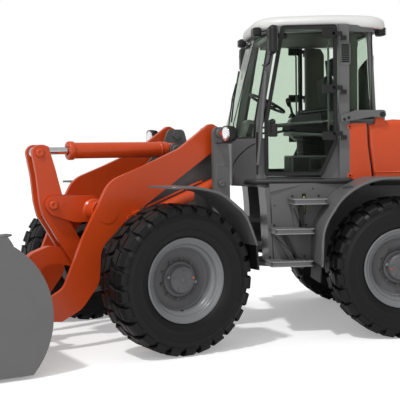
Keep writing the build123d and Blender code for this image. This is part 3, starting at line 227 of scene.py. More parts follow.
class Piece:
    """Collects simple solids in one mesh, in millimetres, in a half frame's own axes."""

    def __init__(self, name, where):
        self.name, self.where, self.bm, self.mats = name, where, bmesh.new(), []

    def _slot(self, look):
        if look not in self.mats:
            self.mats.append(look)
        return self.mats.index(look)

    def _paint(self, faces, look, smooth):
        k = self._slot(look)
        for f in faces:
            f.material_index = k
            f.smooth = smooth

    def box(self, look, centre, size, turn=(0, 0, 0), bevel=0.0, segments=2):
        made = bmesh.ops.create_cube(self.bm, size=1.0)["verts"]
        m = Matrix.Translation(centre)
        for angle, axis in zip(reversed(turn), "ZYX"):
            m = m @ Matrix.Rotation(math.radians(angle), 4, axis)
        m = m @ Matrix.Diagonal((*size, 1))
        bmesh.ops.transform(self.bm, matrix=m, verts=made)
        faces = {f for v in made for f in v.link_faces}
        if bevel:
            edges = {e for f in faces for e in f.edges}
            out = bmesh.ops.bevel(
                self.bm, geom=list(edges), offset=bevel, segments=segments, profile=0.5, affect="EDGES",
                clamp_overlap=True)
            faces = {f for f in out["faces"]} | {f for f in faces if f.is_valid}
        self._paint(faces, look, False)

    def rod(self, look, start, end, radius, segments=32, radius_end=None, smooth=True):
        start, end = Vector(start), Vector(end)
        along = end - start
        made = bmesh.ops.create_cone(
            self.bm, cap_ends=True, segments=segments, radius1=radius,
            radius2=radius if radius_end is None else radius_end, depth=along.length)["verts"]
        m = Matrix.Translation((start + end) / 2) @ along.to_track_quat("Z", "Y").to_matrix().to_4x4()
        bmesh.ops.transform(self.bm, matrix=m, verts=made)
        for f in {f for v in made for f in v.link_faces}:
            self._paint([f], look, smooth and len(f.verts) == 4)

    def lathe(self, look, profile, centre, axis=(0, 1, 0), segments=96, smooth=True):
        """Turns (radius, offset along the axis) points round the axis."""
        q = Vector(axis).to_track_quat("Z", "Y").to_matrix().to_4x4()
        m = Matrix.Translation(centre) @ q
        rings = []
        for r, h in profile:
            if r < 1e-6:
                rings.append([self.bm.verts.new(m @ Vector((0, 0, h)))])
            else:
                rings.append([
                    self.bm.verts.new(m @ Vector((r * math.cos(a), r * math.sin(a), h)))
                    for a in (2 * math.pi * k / segments for k in range(segments))])
        for a, b in zip(rings, rings[1:]):
            for j in range(segments):
                j2 = (j + 1) % segments
                if len(a) == 1 and len(b) == 1:
                    continue
                if len(a) == 1:
                    vs = (a[0], b[j], b[j2])
                elif len(b) == 1:
                    vs = (a[j], b[0], a[j2])
                else:
                    vs = (a[j], b[j], b[j2], a[j2])
                self._paint([self.bm.faces.new(vs)], look, smooth)

    def sweep(self, look, points, radius, segments=12, closed=False):
        """Round bar along a path of points."""
        pts = [Vector(p) for p in points]
        count = len(pts)
        rings = []
        up = Vector((0, 0, 1))
        for i, p in enumerate(pts):
            a = pts[i - 1] if (i or closed) else p
            b = pts[(i + 1) % count] if (i < count - 1 or closed) else p
            d = (b - a).normalized()
            side = d.cross(up)
            if side.length < 0.05:
                side = d.cross(Vector((1, 0, 0)))
            side.normalize()
            top = side.cross(d)
            rings.append([p + (side * math.cos(t) + top * math.sin(t)) * radius
                          for t in (2 * math.pi * k / segments for k in range(segments))])
        made = self.skin(look, rings, closed=closed)
        if not closed:
            self.close(look, made[0], made[-1])

    def skin(self, look, rings, smooth=True, closed=False):
        """Joins rings of as many points each, one after the other and, if closed, the last to the first."""
        made = [[self.bm.verts.new(q) for q in ring] for ring in rings]
        for a, b in zip(made, made[1:] + made[:1] if closed else made[1:]):
            quads = [(a[i - 1], a[i], b[i], b[i - 1]) for i in (*range(1, len(a)), 0)]
            self._paint([self.bm.faces.new(q) for q in quads], look, smooth)
        return made

    def close(self, look, *rings):
        """One flat face over each ring."""
        for ring in rings:
            self.bm.faces.new(ring).material_index = self._slot(look)

    def plate(self, look, outline, low, high, axis="Y"):
        """Flat plate from an outline; axis Y takes x, z points and Z takes x, y points."""
        made = self.skin(look, [
            [(u, w, v) if axis == "Y" else (u, v, w) for u, v in outline] for w in (low, high)], smooth=False)
        self.close(look, *made)

    def make(self, body, replaces=()):
        bm = self.bm
        bmesh.ops.transform(bm, matrix=self.where, verts=bm.verts)
        bmesh.ops.recalc_face_normals(bm, faces=bm.faces)
        bmesh.ops.triangulate(bm, faces=[f for f in bm.faces if len(f.verts) > 4])
        ob = new_object(self.name, bm, self.mats)
        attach(ob, body)
        if replaces:
            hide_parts(*replaces)


def node_tree(name, inputs):
    """Empty geometry tree with named inputs; rows of name, socket type and default."""
    t = bpy.data.node_groups.new(name, "GeometryNodeTree")
    t.interface.new_socket("Geometry", in_out="OUTPUT", socket_type="NodeSocketGeometry")
    for label, kind, default in inputs:
        s = t.interface.new_socket(label, in_out="INPUT", socket_type=kind)
        s.default_value = default
    return t, t.nodes.new("NodeGroupInput"), t.nodes.new("NodeGroupOutput")


def run_tree(tree, values):
    """Evaluates a geometry tree on an empty mesh and gives back the plain mesh."""
    holder = bpy.data.objects.new("holder", bpy.data.meshes.new("holder"))
    bpy.context.scene.collection.objects.link(holder)
    mod = holder.modifiers.new("build", "NODES")
    mod.node_group = tree
    for item in tree.interface.items_tree:
        if item.in_out == "INPUT" and item.name in values:
            mod[item.identifier] = values[item.name]
    bpy.context.view_layer.update()
    dg = bpy.context.evaluated_depsgraph_get()
    mesh = bpy.data.meshes.new_from_object(holder.evaluated_get(dg), depsgraph=dg)
    bpy.data.objects.remove(holder)
    return mesh


def end_tree(t, gin, gout, line, look, more=None):
    """Sets the part on each point of the line, makes the copies real and gives them their finish."""
    part = add_node(t, "GeometryNodeObjectInfo", {"Object": gin.outputs["Part"]})
    on = add_node(t, "GeometryNodeInstanceOnPoints", {
        "Points": line.outputs["Mesh"], "Instance": part.outputs["Geometry"], **(more or {})})
    real = add_node(t, "GeometryNodeRealizeInstances", {"Geometry": on.outputs["Instances"]})
    mat = add_node(t, "GeometryNodeSetMaterial", {"Geometry": real.outputs["Geometry"], "Material": M[look]})
    set_inputs(t, gout, {"Geometry": mat.outputs["Geometry"]})
    return t


def ring_tree(name, look):
    """Copies of one bolt head, nut or lug set round the Z axis, all from one small part."""
    t, gin, gout = node_tree(name, (
        ("Count", "NodeSocketInt", 8), ("First angle", "NodeSocketFloat", 0.0), ("Part", "NodeSocketObject", None)))
    count = gin.outputs["Count"]
    line = add_node(t, "GeometryNodeMeshLine", {"Offset": (0, 0, 0), "Count": count})
    index = add_node(t, "GeometryNodeInputIndex")
    share = add_node(t, "ShaderNodeMath", {0: index.outputs["Index"], 1: count}, operation="DIVIDE")
    turn = add_node(t, "ShaderNodeMath", {
        0: share.outputs["Value"], 1: 2 * math.pi, 2: gin.outputs["First angle"]}, operation="MULTIPLY_ADD")
    angles = add_node(t, "ShaderNodeCombineXYZ", {"Z": turn.outputs["Value"]})
    return end_tree(t, gin, gout, line, look, {"Rotation": angles.outputs["Vector"]})


def row_tree(name, look):
    """Copies of one small part set in a straight row."""
    t, gin, gout = node_tree(name, (
        ("Count", "NodeSocketInt", 6), ("Step", "NodeSocketVector", (0, 0, 30)), ("Part", "NodeSocketObject", None)))
    line = add_node(t, "GeometryNodeMeshLine", {"Count": gin.outputs["Count"], "Offset": gin.outputs["Step"]})
    return end_tree(t, gin, gout, line, look)


def add_copies(piece, tree, draw, matrix, look, smooth=False, **values):
    """Adds what a tree makes of one small part to a piece, placed in its half frame."""
    sample = Piece("part", Matrix.Identity(4))
    draw(sample)
    bmesh.ops.recalc_face_normals(sample.bm, faces=sample.bm.faces)
    part = new_object("part", sample.bm)
    mesh = run_tree(tree, {"Part": part, **{k.replace("_", " "): v for k, v in values.items()}})
    bpy.data.objects.remove(part)
    bm = piece.bm
    before, faces_before = len(bm.verts), len(bm.faces)
    bm.from_mesh(mesh)
    bm.verts.ensure_lookup_table()
    bm.faces.ensure_lookup_table()
    bmesh.ops.transform(bm, matrix=matrix, verts=bm.verts[before:])
    piece._paint(bm.faces[faces_before:], look, smooth)
    bpy.data.meshes.remove(mesh)


def bolt(piece, look, at, radius=9, height=8, axis=(0, 1, 0)):
    """One bolt head with its washer, on a face."""
    a, d = Vector(at), Vector(axis)
    piece.rod(look, a, a + d * height * 0.25, radius * 1.3, 16)
    piece.rod(look, a + d * height * 0.25, a + d * height, radius, 6, smooth=False)


def cap(piece, look, at, radius, height=10, axis=(0, 1, 0)):
    """Round pin cap with a chamfered edge and a centre mark."""
    piece.lathe(look, [
        (radius, 0), (radius, height * 0.6), (radius * 0.9, height), (radius * 0.3, height),
        (radius * 0.24, height * 0.8), (0, height * 0.8)], at, axis, 32)


# ---------------------------------------------------------------- settings
class LoaderLooks(bpy.types.PropertyGroup):
    """Colours and counts that a user may change"""
    body_colour: bpy.props.FloatVectorProperty(
        name="Body colour", description="Colour of the hood, the arms and the linkage", subtype="COLOR", size=3,
        min=0.0, max=1.0, default=srgb(205, 72, 22)[:3])
    frame_colour: bpy.props.FloatVectorProperty(
        name="Frame colour", description="Colour of the cab, the chassis and the fenders", subtype="COLOR", size=3,
        min=0.0, max=1.0, default=srgb(98, 98, 99)[:3])
    lugs: bpy.props.IntProperty(
        name="Lugs a side", description="Tread blocks along each shoulder of a tyre", default=26, min=12, max=40)
    nuts: bpy.props.IntProperty(
        name="Wheel nuts", description="Nuts round the disc of each wheel", default=10, min=4, max=16)
    louvre_slots: bpy.props.IntProperty(
        name="Louvre slots", description="Air slots in each door pillar", default=9, min=3, max=14)
    floor_colour: bpy.props.FloatVectorProperty(
        name="Floor colour", description="Colour of the studio floor", subtype="COLOR", size=3, min=0.0, max=1.0,
        default=(0.86, 0.86, 0.86))


def looks():
    return bpy.context.scene.loader_looks


# ---------------------------------------------------------------- wheels
AXLE_TO_RING = Matrix.Rotation(math.radians(-90), 4, "X")   # a quarter turn between the axle and a ring's Z axis


def wheel_matrix(name):
    """Wheel axes in the row frame: y grows outwards from the wheel's centre plane, in millimetres."""
    x, side, front = WHEELS[name]
    m = (FRONT if front else REAR) @ Matrix.Translation((x, side * HALF_TRACK, AXLE_Z))
    return m if side > 0 else m @ Matrix.Rotation(math.pi, 4, "Z")


CARCASS = [
    # radius, offset from the centre plane
    (318, 150), (326, 163), (357, 168), (366, 178), (386, 193), (412, 203), (416, 206), (421, 203), (452, 210),
    (486, 214), (500, 214), (503, 216), (509, 216), (512, 213), (540, 210), (562, 203), (579, 190), (592, 174),
    (600, 150), (603, 110), (604, 0)]


def crown(y):
    """How far the tread's surface falls away towards its shoulder."""
    return 20 * max(0.0, (abs(y) - 160) / 50) ** 1.5


def tread_block(piece, rows, foot=588.0):
    """One block with chamfered edges, from rows of offset across, start and end along the tread."""
    sections = []
    for i, (y, start, end) in enumerate(rows):
        draw_in = 6 if i == 0 else -6 if i == len(rows) - 1 else 0
        top = TYRE_RADIUS - crown(y)
        points = [
            (start, y, foot), (start, y, top - 8), (start + 6, y + draw_in, top), (end - 6, y + draw_in, top),
            (end, y, top - 8), (end, y, foot)]
        sections.append([(x, v, math.sqrt(r * r - x * x)) for x, v, r in points])
    made = piece.skin("tyre_rubber", sections, smooth=False)
    piece.close("tyre_rubber", made[0], made[-1])


def lug(piece):
    """One pitch of the tread: a slanted middle block, a shoulder block and its buttress down the side."""
    tread_block(piece, [(10, -74, 30), (58, -62, 48), (104, -48, 64)])
    tread_block(piece, [(112, -48, 66), (162, -46, 68), (208, -38, 60)])
    wall = [(207, 604), (214.5, 588), (216, 560), (207, 548), (196, 575)]
    sides = [[(x, y, math.sqrt(r ** 2 - x ** 2)) for y, r in wall] for x in (-34, 56)]
    piece.close("tyre_rubber", *piece.skin("tyre_rubber", sides, smooth=False))


class LOADER_OT_tyres(bpy.types.Operator):
    """Four tyres: a turned carcass with tread blocks set round both shoulders"""
    bl_idname = "loader.tyres"
    bl_label = "Tyres"

    def execute(self, context):
        tree = ring_tree("Tread ring", "tyre_rubber")
        count = looks().lugs
        for name in WHEELS:
            piece = Piece(f"tyre_{name}_tread", wheel_matrix(name))
            profile = CARCASS + [(r, -y) for r, y in reversed(CARCASS[:-1])]
            piece.lathe("tyre_rubber", profile, (0, 0, 0), segments=120)
            for side in (1, -1):
                def draw(part, side=side):
                    lug(part)
                    turn = AXLE_TO_RING @ Matrix.Diagonal((1, side, 1, 1))
                    bmesh.ops.transform(part.bm, matrix=turn, verts=part.bm.verts)
                shift = 0.0 if side > 0 else math.pi / count
                upright = Matrix.Rotation(math.radians(90), 4, "X")
                add_copies(piece, tree, draw, upright, "tyre_rubber", Count=count, First_angle=shift)
            piece.make(f"wheel_{name}", [f"tyre_{name}"])
        return {"FINISHED"}


RIM = [
    # radius, offset outwards; dished to the disc
    (300, -176), (349, -181), (355, -174), (355, -168), (322, -158), (318, -150), (318, 150), (322, 158), (355, 168),
    (357, 174), (353, 180), (343, 181), (335, 175), (326, 164), (312, 158), (303, 152), (298, 140), (296, 128),
    (286, 122), (272, 112), (266, 98), (262, 60), (258, 44), (250, 36)]
DISC = [(250, 36), (240, 30), (228, 27), (214, 25), (150, 25), (150, 54), (141, 60), (128, 62)]
NUT_CIRCLE = 164      # radius of the ring of nuts
HUB = [(128, 62), (126, 70), (118, 72), (116, 100), (112, 109), (100, 114), (60, 117), (0, 118)]


class LOADER_OT_rims(bpy.types.Operator):
    """Four wheels: dished rim, disc darker as painted shade of the dish, ring of nuts and a hub cap with five faint
    lobes
    """
    bl_idname = "loader.rims"
    bl_label = "Rims"

    def execute(self, context):
        tree = ring_tree("Nut ring", "rim_grey")
        for name in WHEELS:
            piece = Piece(f"rim_{name}_dressed", wheel_matrix(name))
            piece.lathe("rim_grey", RIM, (0, 0, 0), segments=128)
            # The disc, hub, nuts and lobes below take the darker grey that paints the dish's shade.
            piece.lathe("hub_shade_grey", DISC, (0, 0, 0), segments=96)
            piece.lathe("hub_shade_grey", HUB, (0, 0, 0), segments=64)
            piece.lathe("hub_shade_grey", [(250, 36), (252, 10), (150, -20), (150, -60), (74, -60)], (0, 0, 0), segments=64)
            piece.lathe("rim_grey", [(300, -176), (294, -150), (290, -60), (252, 10)], (0, 0, 0), segments=96)

            def nut(part):
                part.lathe("steel", [(17, 0), (17, 4), (12, 5)], (NUT_CIRCLE, 0, 0), (0, 0, 1), 20)
                part.rod("steel", (NUT_CIRCLE, 0, 4), (NUT_CIRCLE, 0, 17), 11.5, 6, smooth=False)
                part.rod("steel", (NUT_CIRCLE, 0, 17), (NUT_CIRCLE, 0, 26), 7, 12)
            add_copies(piece, tree, nut, Matrix.Translation((0, 25, 0)) @ AXLE_TO_RING, "hub_shade_grey",
                       Count=looks().nuts, First_angle=0.2)

            def lobe(part):
                path = [(22, 0, 0), (44, 10, 0), (66, 32, 0), (78, 62, 0)]
                part.sweep("hub_shade_grey", path, 3.2, 8)
            add_copies(piece, tree, lobe, Matrix.Translation((0, 115.4, 0)) @ AXLE_TO_RING, "hub_shade_grey", True,
                       Count=5, First_angle=0.4)
            piece.lathe("hub_shade_grey", [(26, 0), (26, 5), (22, 7), (0, 7)], (0, 115, 0), segments=32)
            a = math.radians(172 if name.startswith("f") else -8)
            for k, (radius, look) in enumerate(((15, "hub_shade_grey"), (9, "body_orange"))):
                at = Vector((92 * math.cos(a), 112 + 3 * k, 92 * math.sin(a)))
                piece.rod(look, at, at + Vector((0, 7, 0)), radius, 6 if k else 24, smooth=not k)
            for angle in (12, 192):
                b = math.radians(angle)
                piece.box("hub_shade_grey", (126 * math.cos(b), 84, 126 * math.sin(b)), (34, 24, 30), (0, -angle, 0), 4)
            valve = Vector((0, 60, -266))
            piece.rod("seal_black", valve, valve + Vector((0, 40, 10)), 6, 12)
            piece.make(f"wheel_{name}", [f"rim_{name}"])
        return {"FINISHED"}


# ---------------------------------------------------------------- cab
CAB_HALF, CAB_FRONT_HALF, CAB_TOP = 755.0, 640.0, 2950.0
DOOR_TURN = -math.degrees(math.atan2(CAB_HALF - CAB_FRONT_HALF, 710))
HINGE_COVERS = ((1815, 1811), (2232, 2240), (2722, 2743))   # hinge height, middle of its cover


# Door axes in its half frame: x forwards from its rear edge, y outwards from its inner face.
DOOR_SPOT = Matrix.Translation((-800, CAB_HALF + 6, 0)) @ Matrix.Rotation(math.radians(DOOR_TURN), 4, "Z")


def across(points):
    """A path that goes on over the middle to its own mirror image."""
    return [*points, *((x, -y, z) for x, y, z in reversed(points))]


def door_edge(inset):
    """Corner points of the door's outline, drawn in by an inset."""
    i = inset
    return [
        (682 - i, 1450 + i), (682 - i, 1950), (522 - i * 0.9, 2826 - i), (14 + i, 2826 - i), (14 + i, 1740 + i * 0.5),
        (150 + i * 0.8, 1450 + i)]


def rounded(a, p, b, radius, share, steps):
    """Short chords round the corner p between its neighbours a and b."""
    da, db = a - p, b - p
    cut = min(radius, da.length * share, db.length * share)
    s, e = p + da.normalized() * cut, p + db.normalized() * cut
    return [tuple(s.lerp(p, k / steps).lerp(p.lerp(e, k / steps), k / steps)) for k in range(steps + 1)]


def softened(points, radius, steps=5):
    """A closed outline with every corner rounded."""
    pts = [Vector(p) for p in points]
    return [q for i, p in enumerate(pts) for q in rounded(
        pts[i - 1], p, pts[(i + 1) % len(pts)], radius, 0.45, steps)]


def arch(points, radius, steps=9):
    """An open line with its inner corners rounded."""
    pts = [Vector(p) for p in points]
    inner = [q for a, p, b in zip(pts, pts[1:], pts[2:]) for q in rounded(a, p, b, radius, 0.48, steps)]
    return [tuple(pts[0]), *inner, tuple(pts[-1])]


class LOADER_OT_doors(bpy.types.Operator):
    """Door seals, hinge covers, latch, inner rails and handles on both doors"""
    bl_idname = "loader.doors"
    bl_label = "Door fittings"

    def execute(self, context):
        for tag, where in both_sides(REAR):
            body = f"door_{tag}"
            p = Piece(f"door_fittings_{body}", where @ DOOR_SPOT)
            for inset, y, r in ((32, 34, 5), (6, 35, 4)):
                path = softened(door_edge(inset), 34)
                p.sweep("seal_black", [(x, y, z) for x, z in path], r, 8, closed=True)
            p.sweep("machine_grey", [(91, 4, 2700), (91, -14, 2680), (91, -14, 1880), (91, 4, 1860)], 9, 12)
            p.sweep("machine_grey", [(630, 6, 1925), (600, -22, 1920), (60, -22, 1952), (40, 0, 1955)], 11, 12)
            p.box("trim_black", (600, 8, 1872), (78, 50, 122), bevel=10)
            p.rod("trim_black", (606, 4, 1948), (606, -34, 1948), 30, 24)
            p.sweep("trim_black", [(590, -20, 1846), (540, -36, 1856), (440, -40, 1874)], 11, 12)
            p.box("trim_black", (640, 38, 1890), (44, 12, 150), bevel=6)
            p.box("trim_black", (636, 46, 1905), (26, 10, 96), bevel=5)
            p.make(body)
            q = Piece(f"door_hinges_{body}", where)
            for z, middle in HINGE_COVERS:
                q.box("trim_black", (-703, 799, middle), (122, 26, 80), bevel=6)
                q.box("trim_black", (-780, 791, z + 19), (96, 42, 37), bevel=5)
            q.make(body)
            s = Piece(f"pillar_hinges_{body}", where)
            for z, _ in HINGE_COVERS:
                s.box("trim_black", (-839, 776, z - 18), (62, 44, 38), bevel=5)
            s.make("rear_frame")
        return {"FINISHED"}


class LOADER_OT_cab_trim(bpy.types.Operator):
    """Pillar louvres, sill tubes, window rubbers, black lines of painted shade along the prow creases, and the wiper
    on the cab
    """
    bl_idname = "loader.cab_trim"
    bl_label = "Cab trim"

    def execute(self, context):
        count, pitch = looks().louvre_slots, 19.0
        tree = row_tree("Louvre row", "trim_black")
        for tag, where in both_sides(REAR):
            p = Piece(f"pillar_louvre_{tag}", where)
            frame = softened([(-914, 2454), (-822, 2454), (-822, 2672), (-914, 2672)], 40)
            p.sweep("machine_grey", [(x, 756, z) for x, z in frame], 3, 6, closed=True)
            p.plate("machine_grey", frame, 755.2, 757)

            def slot(part):
                part.box("trim_black", (0, 0, 0), (74, 4, 8), bevel=1.5)
                part.box("trim_black", (0, 2, 7), (74, 5, 4), (24, 0, 0))
            start = Matrix.Translation((-868, 757, 2563 - pitch * (count - 1) / 2))
            add_copies(p, tree, slot, start, "trim_black", Count=count, Step=(0, 0, pitch))
            p.make("rear_frame")
            p = Piece(f"cab_sill_{tag}", where)
            p.sweep("dark_grey", [(40, 560, 1394), (-60, 640, 1396), (-130, 664, 1398), (-780, 748, 1398),
                (-895, 752, 1400), (-905, 748, 1406)], 27, 16)
            p.make("rear_frame")
            p = Piece(f"window_rubbers_{tag}", where)
            pane_edge = [(-910, 741, 1974), (-910, 741, 2764), (-1134, 687, 2764), (-1134, 687, 1974)]
            p.sweep("seal_black", pane_edge, 8, 8, closed=True)
            p.sweep("seal_black", [(-45, 613, 1806), (-45, 613, 1952), (-195, 588, 2762)], 9, 8)
            p.make("rear_frame")
            p = Piece(f"prow_crease_{tag}", where)
            # The thin black rod is painted shade along the prow's crease.
            p.sweep("seal_black", [(-50, 638, 1752), (-29, 596, 1744), (13, 508, 1711), (71, 387, 1644),
                (112, 300, 1570), (124, 262, 1500)], 4, 6)
            p.box("machine_grey", (-58, 646, 1660), (26, 8, 400), bevel=3)
            p.make("rear_frame")
        p = Piece("screen_frame", REAR)
        sill, head, bend, half = 1806, 2764, 250, 588
        p.sweep("seal_black", across([(-47, 612, sill), (104, bend, sill)]), 10, 8)
        p.sweep("seal_black", across([(-195, half, head), (-108, bend, head)]), 9, 8)
        rear = [(-1192, half, 1956), (-1192, -half, 1956), (-1144, -half, head + 2), (-1144, half, head + 2)]
        p.sweep("seal_black", rear, 9, 8, closed=True)
        p.make("rear_frame")
        p = Piece("wiper", REAR)
        p.rod("trim_black", (106, 60, 1830), (138, 60, 1836), 24, 20)
        p.sweep("trim_black", [(132, 60, 1838), (136, 110, 1900), (110, 226, 2190), (76, 250, 2330)], 7, 8)
        p.sweep("trim_black", [(122, 232, 1960), (100, 244, 2160), (46, 252, 2450)], 8, 8)
        p.make("rear_frame")
        return {"FINISHED"}


class LOADER_OT_roof(bpy.types.Operator):
    """Crowned roof cap with soft corners, its dark gasket and its lamps"""
    bl_idname = "loader.roof"
    bl_label = "Roof"

    def execute(self, context):
        p = Piece("roof_cap", REAR)
        plan = [(-79, 540), (-79, -540), (-780, -734), (-1329, -640), (-1329, 640), (-780, 734)]
        base = softened(plan, 260, 12)
        centre = Vector((-700, 0))
        rows = [
            # height, inset from the plan
            (2831, 60), (2829, 24), (2834, 6), (2846, 0), (2868, 0), (2888, 8), (2905, 24), (2920, 52), (2932, 96),
            (2941, 160), (2947, 250), (2949.5, 380)]
        rings = []
        for z, inset in rows:
            ring = []
            for x, y in base:
                d = centre - Vector((x, y))
                q = Vector((x, y)) + d.normalized() * min(inset, d.length * 0.9)
                drop = min(1.0, max(0.0, (-880 - x) / 160)) + min(1.0, max(0.0, (x + 260) / 120))
                ring.append((q.x, q.y, z - 20 * drop * max(0.0, (2890 - z) / 60)))
            rings.append(ring)
        made = p.skin("roof_white", rings)
        for ring, z in ((made[0], rows[0][0]), (made[-1], CAB_TOP)):
            hub = p.bm.verts.new((centre.x, 0, z))
            for i in range(len(ring)):
                p.bm.faces.new((ring[i], ring[(i + 1) % len(ring)], hub)).smooth = True
        p.make("rear_frame", ["cab_roof"])
        p = Piece("roof_gasket", REAR)
        edge = softened([(-120, 500), (-120, -500), (-780, -700), (-1280, -600), (-1280, 600), (-780, 700)], 200, 8)
        p.plate("trim_black", edge, 2800, 2832, "Z")
        p.make("rear_frame")
        # tag, place along the roof, distance from its middle, way the lens faces
        for tag, x, out, turn in (("front", -94, 460, 1), ("rear", -1273, 490, -1)):
            p = Piece(f"roof_lamps_{tag}", REAR)
            for y in (out, -out):
                p.box("trim_black", (x, y, 2794), (80, 118, 84), bevel=22, segments=4)
                p.box("reflector", (x + turn * 40, y, 2792), (4, 92, 60), bevel=1.8)
                p.box("lamp_lens", (x + turn * 42.5, y, 2792), (4, 100, 68), bevel=1.8)
                p.box("trim_black", (x - turn * 10, y, 2822), (34, 40, 20), bevel=4)
            p.make("rear_frame", ["work_lamps"] if tag == "front" else ())
        return {"FINISHED"}


class LOADER_OT_mirrors(bpy.types.Operator):
    """Outside mirrors with their wire frames"""
    bl_idname = "loader.mirrors"
    bl_label = "Mirrors and rails"

    def execute(self, context):
        for tag, where in both_sides(REAR):
            p = Piece(f"mirror_{tag}", where)
            y, z = 890, 2672
            p.box("trim_black", (-165, y, z), (76, 178, 256), bevel=36, segments=6)
            p.box("mirror_face", (-203, y, z), (3, 112, 190), bevel=1)
            p.sweep("trim_black", [(-214, 620, 2800), (-214, 840, 2800), (-205, 868, 2796), (-186, 880, 2790),
                (-174, 884, 2760)], 11, 12)
            p.sweep("trim_black", [(-120, 640, 2470), (-128, 760, 2455), (-140, 870, 2470), (-160, 886, 2560)], 9, 10)
            p.rod("trim_black", (-140, y, z + 28), (-120, y, z + 28), 14, 16)
            p.make("rear_frame", ["mirrors"] if tag == "left" else ())
        return {"FINISHED"}


# ---------------------------------------------------------------- inside the cab
def cushion(name, centre, size, turn, crown, channels=()):
    """Padded block: a crowned closed form whose sides pull in between its corners, with sewn channels."""
    n = 28
    sx, sy, sz = size
    bm = bmesh.new()
    grid = {}

    def spot(u, v, top):
        pinch = 0.04
        x = u * sx / 2 * (1 - pinch * (1 - v * v))
        y = v * sy / 2 * (1 - pinch * (1 - u * u))
        edge = max(0.0, 1 - max(abs(u), abs(v)) ** 6)
        swell = (1 - u ** 4) * (1 - v ** 4)
        if top:
            z = sz * (0.26 + 0.24 * edge ** 0.5) + crown * swell
            for axis, place, depth, width in channels:
                t = (u if axis == "x" else v) - place
                z -= depth * math.exp(-(t / width) ** 2) * (edge ** 0.5)
        else:
            z = -sz * (0.26 + 0.24 * edge ** 0.5)
        return Vector((x, y, z))

    def share(k):
        return math.sin((k / n - 0.5) * math.pi) * 0.35 + (k / n * 2 - 1) * 0.65

    for top in (0, 1):
        for i in range(n + 1):
            for j in range(n + 1):
                grid[top, i, j] = bm.verts.new(spot(share(i), share(j), top))
        for i in range(n):
            for j in range(n):
                bm.faces.new((grid[top, i, j], grid[top, i + 1, j], grid[top, i + 1, j + 1], grid[top, i, j + 1]))
    rim = [(i, 0) for i in range(n)] + [(n, j) for j in range(n)]
    rim += [(n - i, n - j) for i, j in rim]
    for a, b in zip(rim, rim[1:] + rim[:1]):
        bm.faces.new((grid[0, *a], grid[0, *b], grid[1, *b], grid[1, *a]))
    m = Matrix.Translation(centre) @ Matrix.Rotation(math.radians(turn), 4, "Y")
    bmesh.ops.transform(bm, matrix=REAR @ m, verts=bm.verts)
    bmesh.ops.recalc_face_normals(bm, faces=bm.faces)
    ob = new_object(name, bm, ["seat_fabric"])
    for f in ob.data.polygons:
        f.use_smooth = True
    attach(ob, "rear_frame")
    return ob


class LOADER_OT_seat(bpy.types.Operator):
    """Driver's seat: crowned cushions on moulded pans, armrest, bellows and floor box"""
    bl_idname = "loader.seat"
    bl_label = "Seat"

    def execute(self, context):
        # axis, place, depth and width of each sewn channel
        sides = (("y", 0.55, 10, 0.06), ("y", -0.55, 10, 0.06))
        parts = [
            cushion("seat_cushion", (-660, 0, 1892), (400, 440, 96), -4, 16, (*sides, ("x", -0.2, 6, 0.05))),
            cushion("seat_backrest", (-876, 0, 2160), (500, 410, 96), -82, 14, (*sides, ("x", 0.1, 6, 0.05))),
            cushion("seat_headrest", (-922, 0, 2500), (170, 250, 80), -84, 10)]
        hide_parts("seat")
        p = Piece("seat_pan", REAR)
        p.box("console_grey", (-665, 0, 1834), (400, 430, 34), (0, -4, 0), 12, 3)
        p.box("console_grey", (-938, 0, 2150), (30, 380, 470), (0, -8, 0), 12, 3)
        for y in (-70, 70):
            p.rod("steel", (-928, y, 2370), (-938, y, 2470), 7, 12)
        p.box("trim_black", (-700, 262, 2062), (300, 64, 44), (0, 6, 0), 18, 4)
        p.box("trim_black", (-850, 250, 1990), (60, 36, 160), bevel=12)
        p.make("rear_frame")
        p = Piece("seat_suspension", REAR)
        foot, folds, fold = 1634, 9, 20
        rings = [ring for k in range(folds) for ring in ((1.0, foot + k * fold), (0.92, foot + k * fold + 10))]
        rings.append((1.0, foot + folds * fold))
        plan = softened([(-590, 180), (-590, -180), (-830, -180), (-830, 180)], 50, 4)
        centre = Vector((-710, 0))
        loops = [[(*(centre + (Vector(q) - centre) * s), z) for q in plan] for s, z in rings]
        made = p.skin("seal_black", loops, smooth=False)
        p.close("seal_black", made[0], made[-1])
        p.box("console_grey", (-660, 0, 1530), (380, 400, 200), bevel=16, segments=3)
        p.box("trim_black", (-560, 201, 1560), (70, 6, 60), bevel=2)
        p.box("console_grey", (-710, 201, 1545), (120, 8, 110), bevel=3)
        p.make("rear_frame", ["seat_base"])
        return {"FINISHED"}


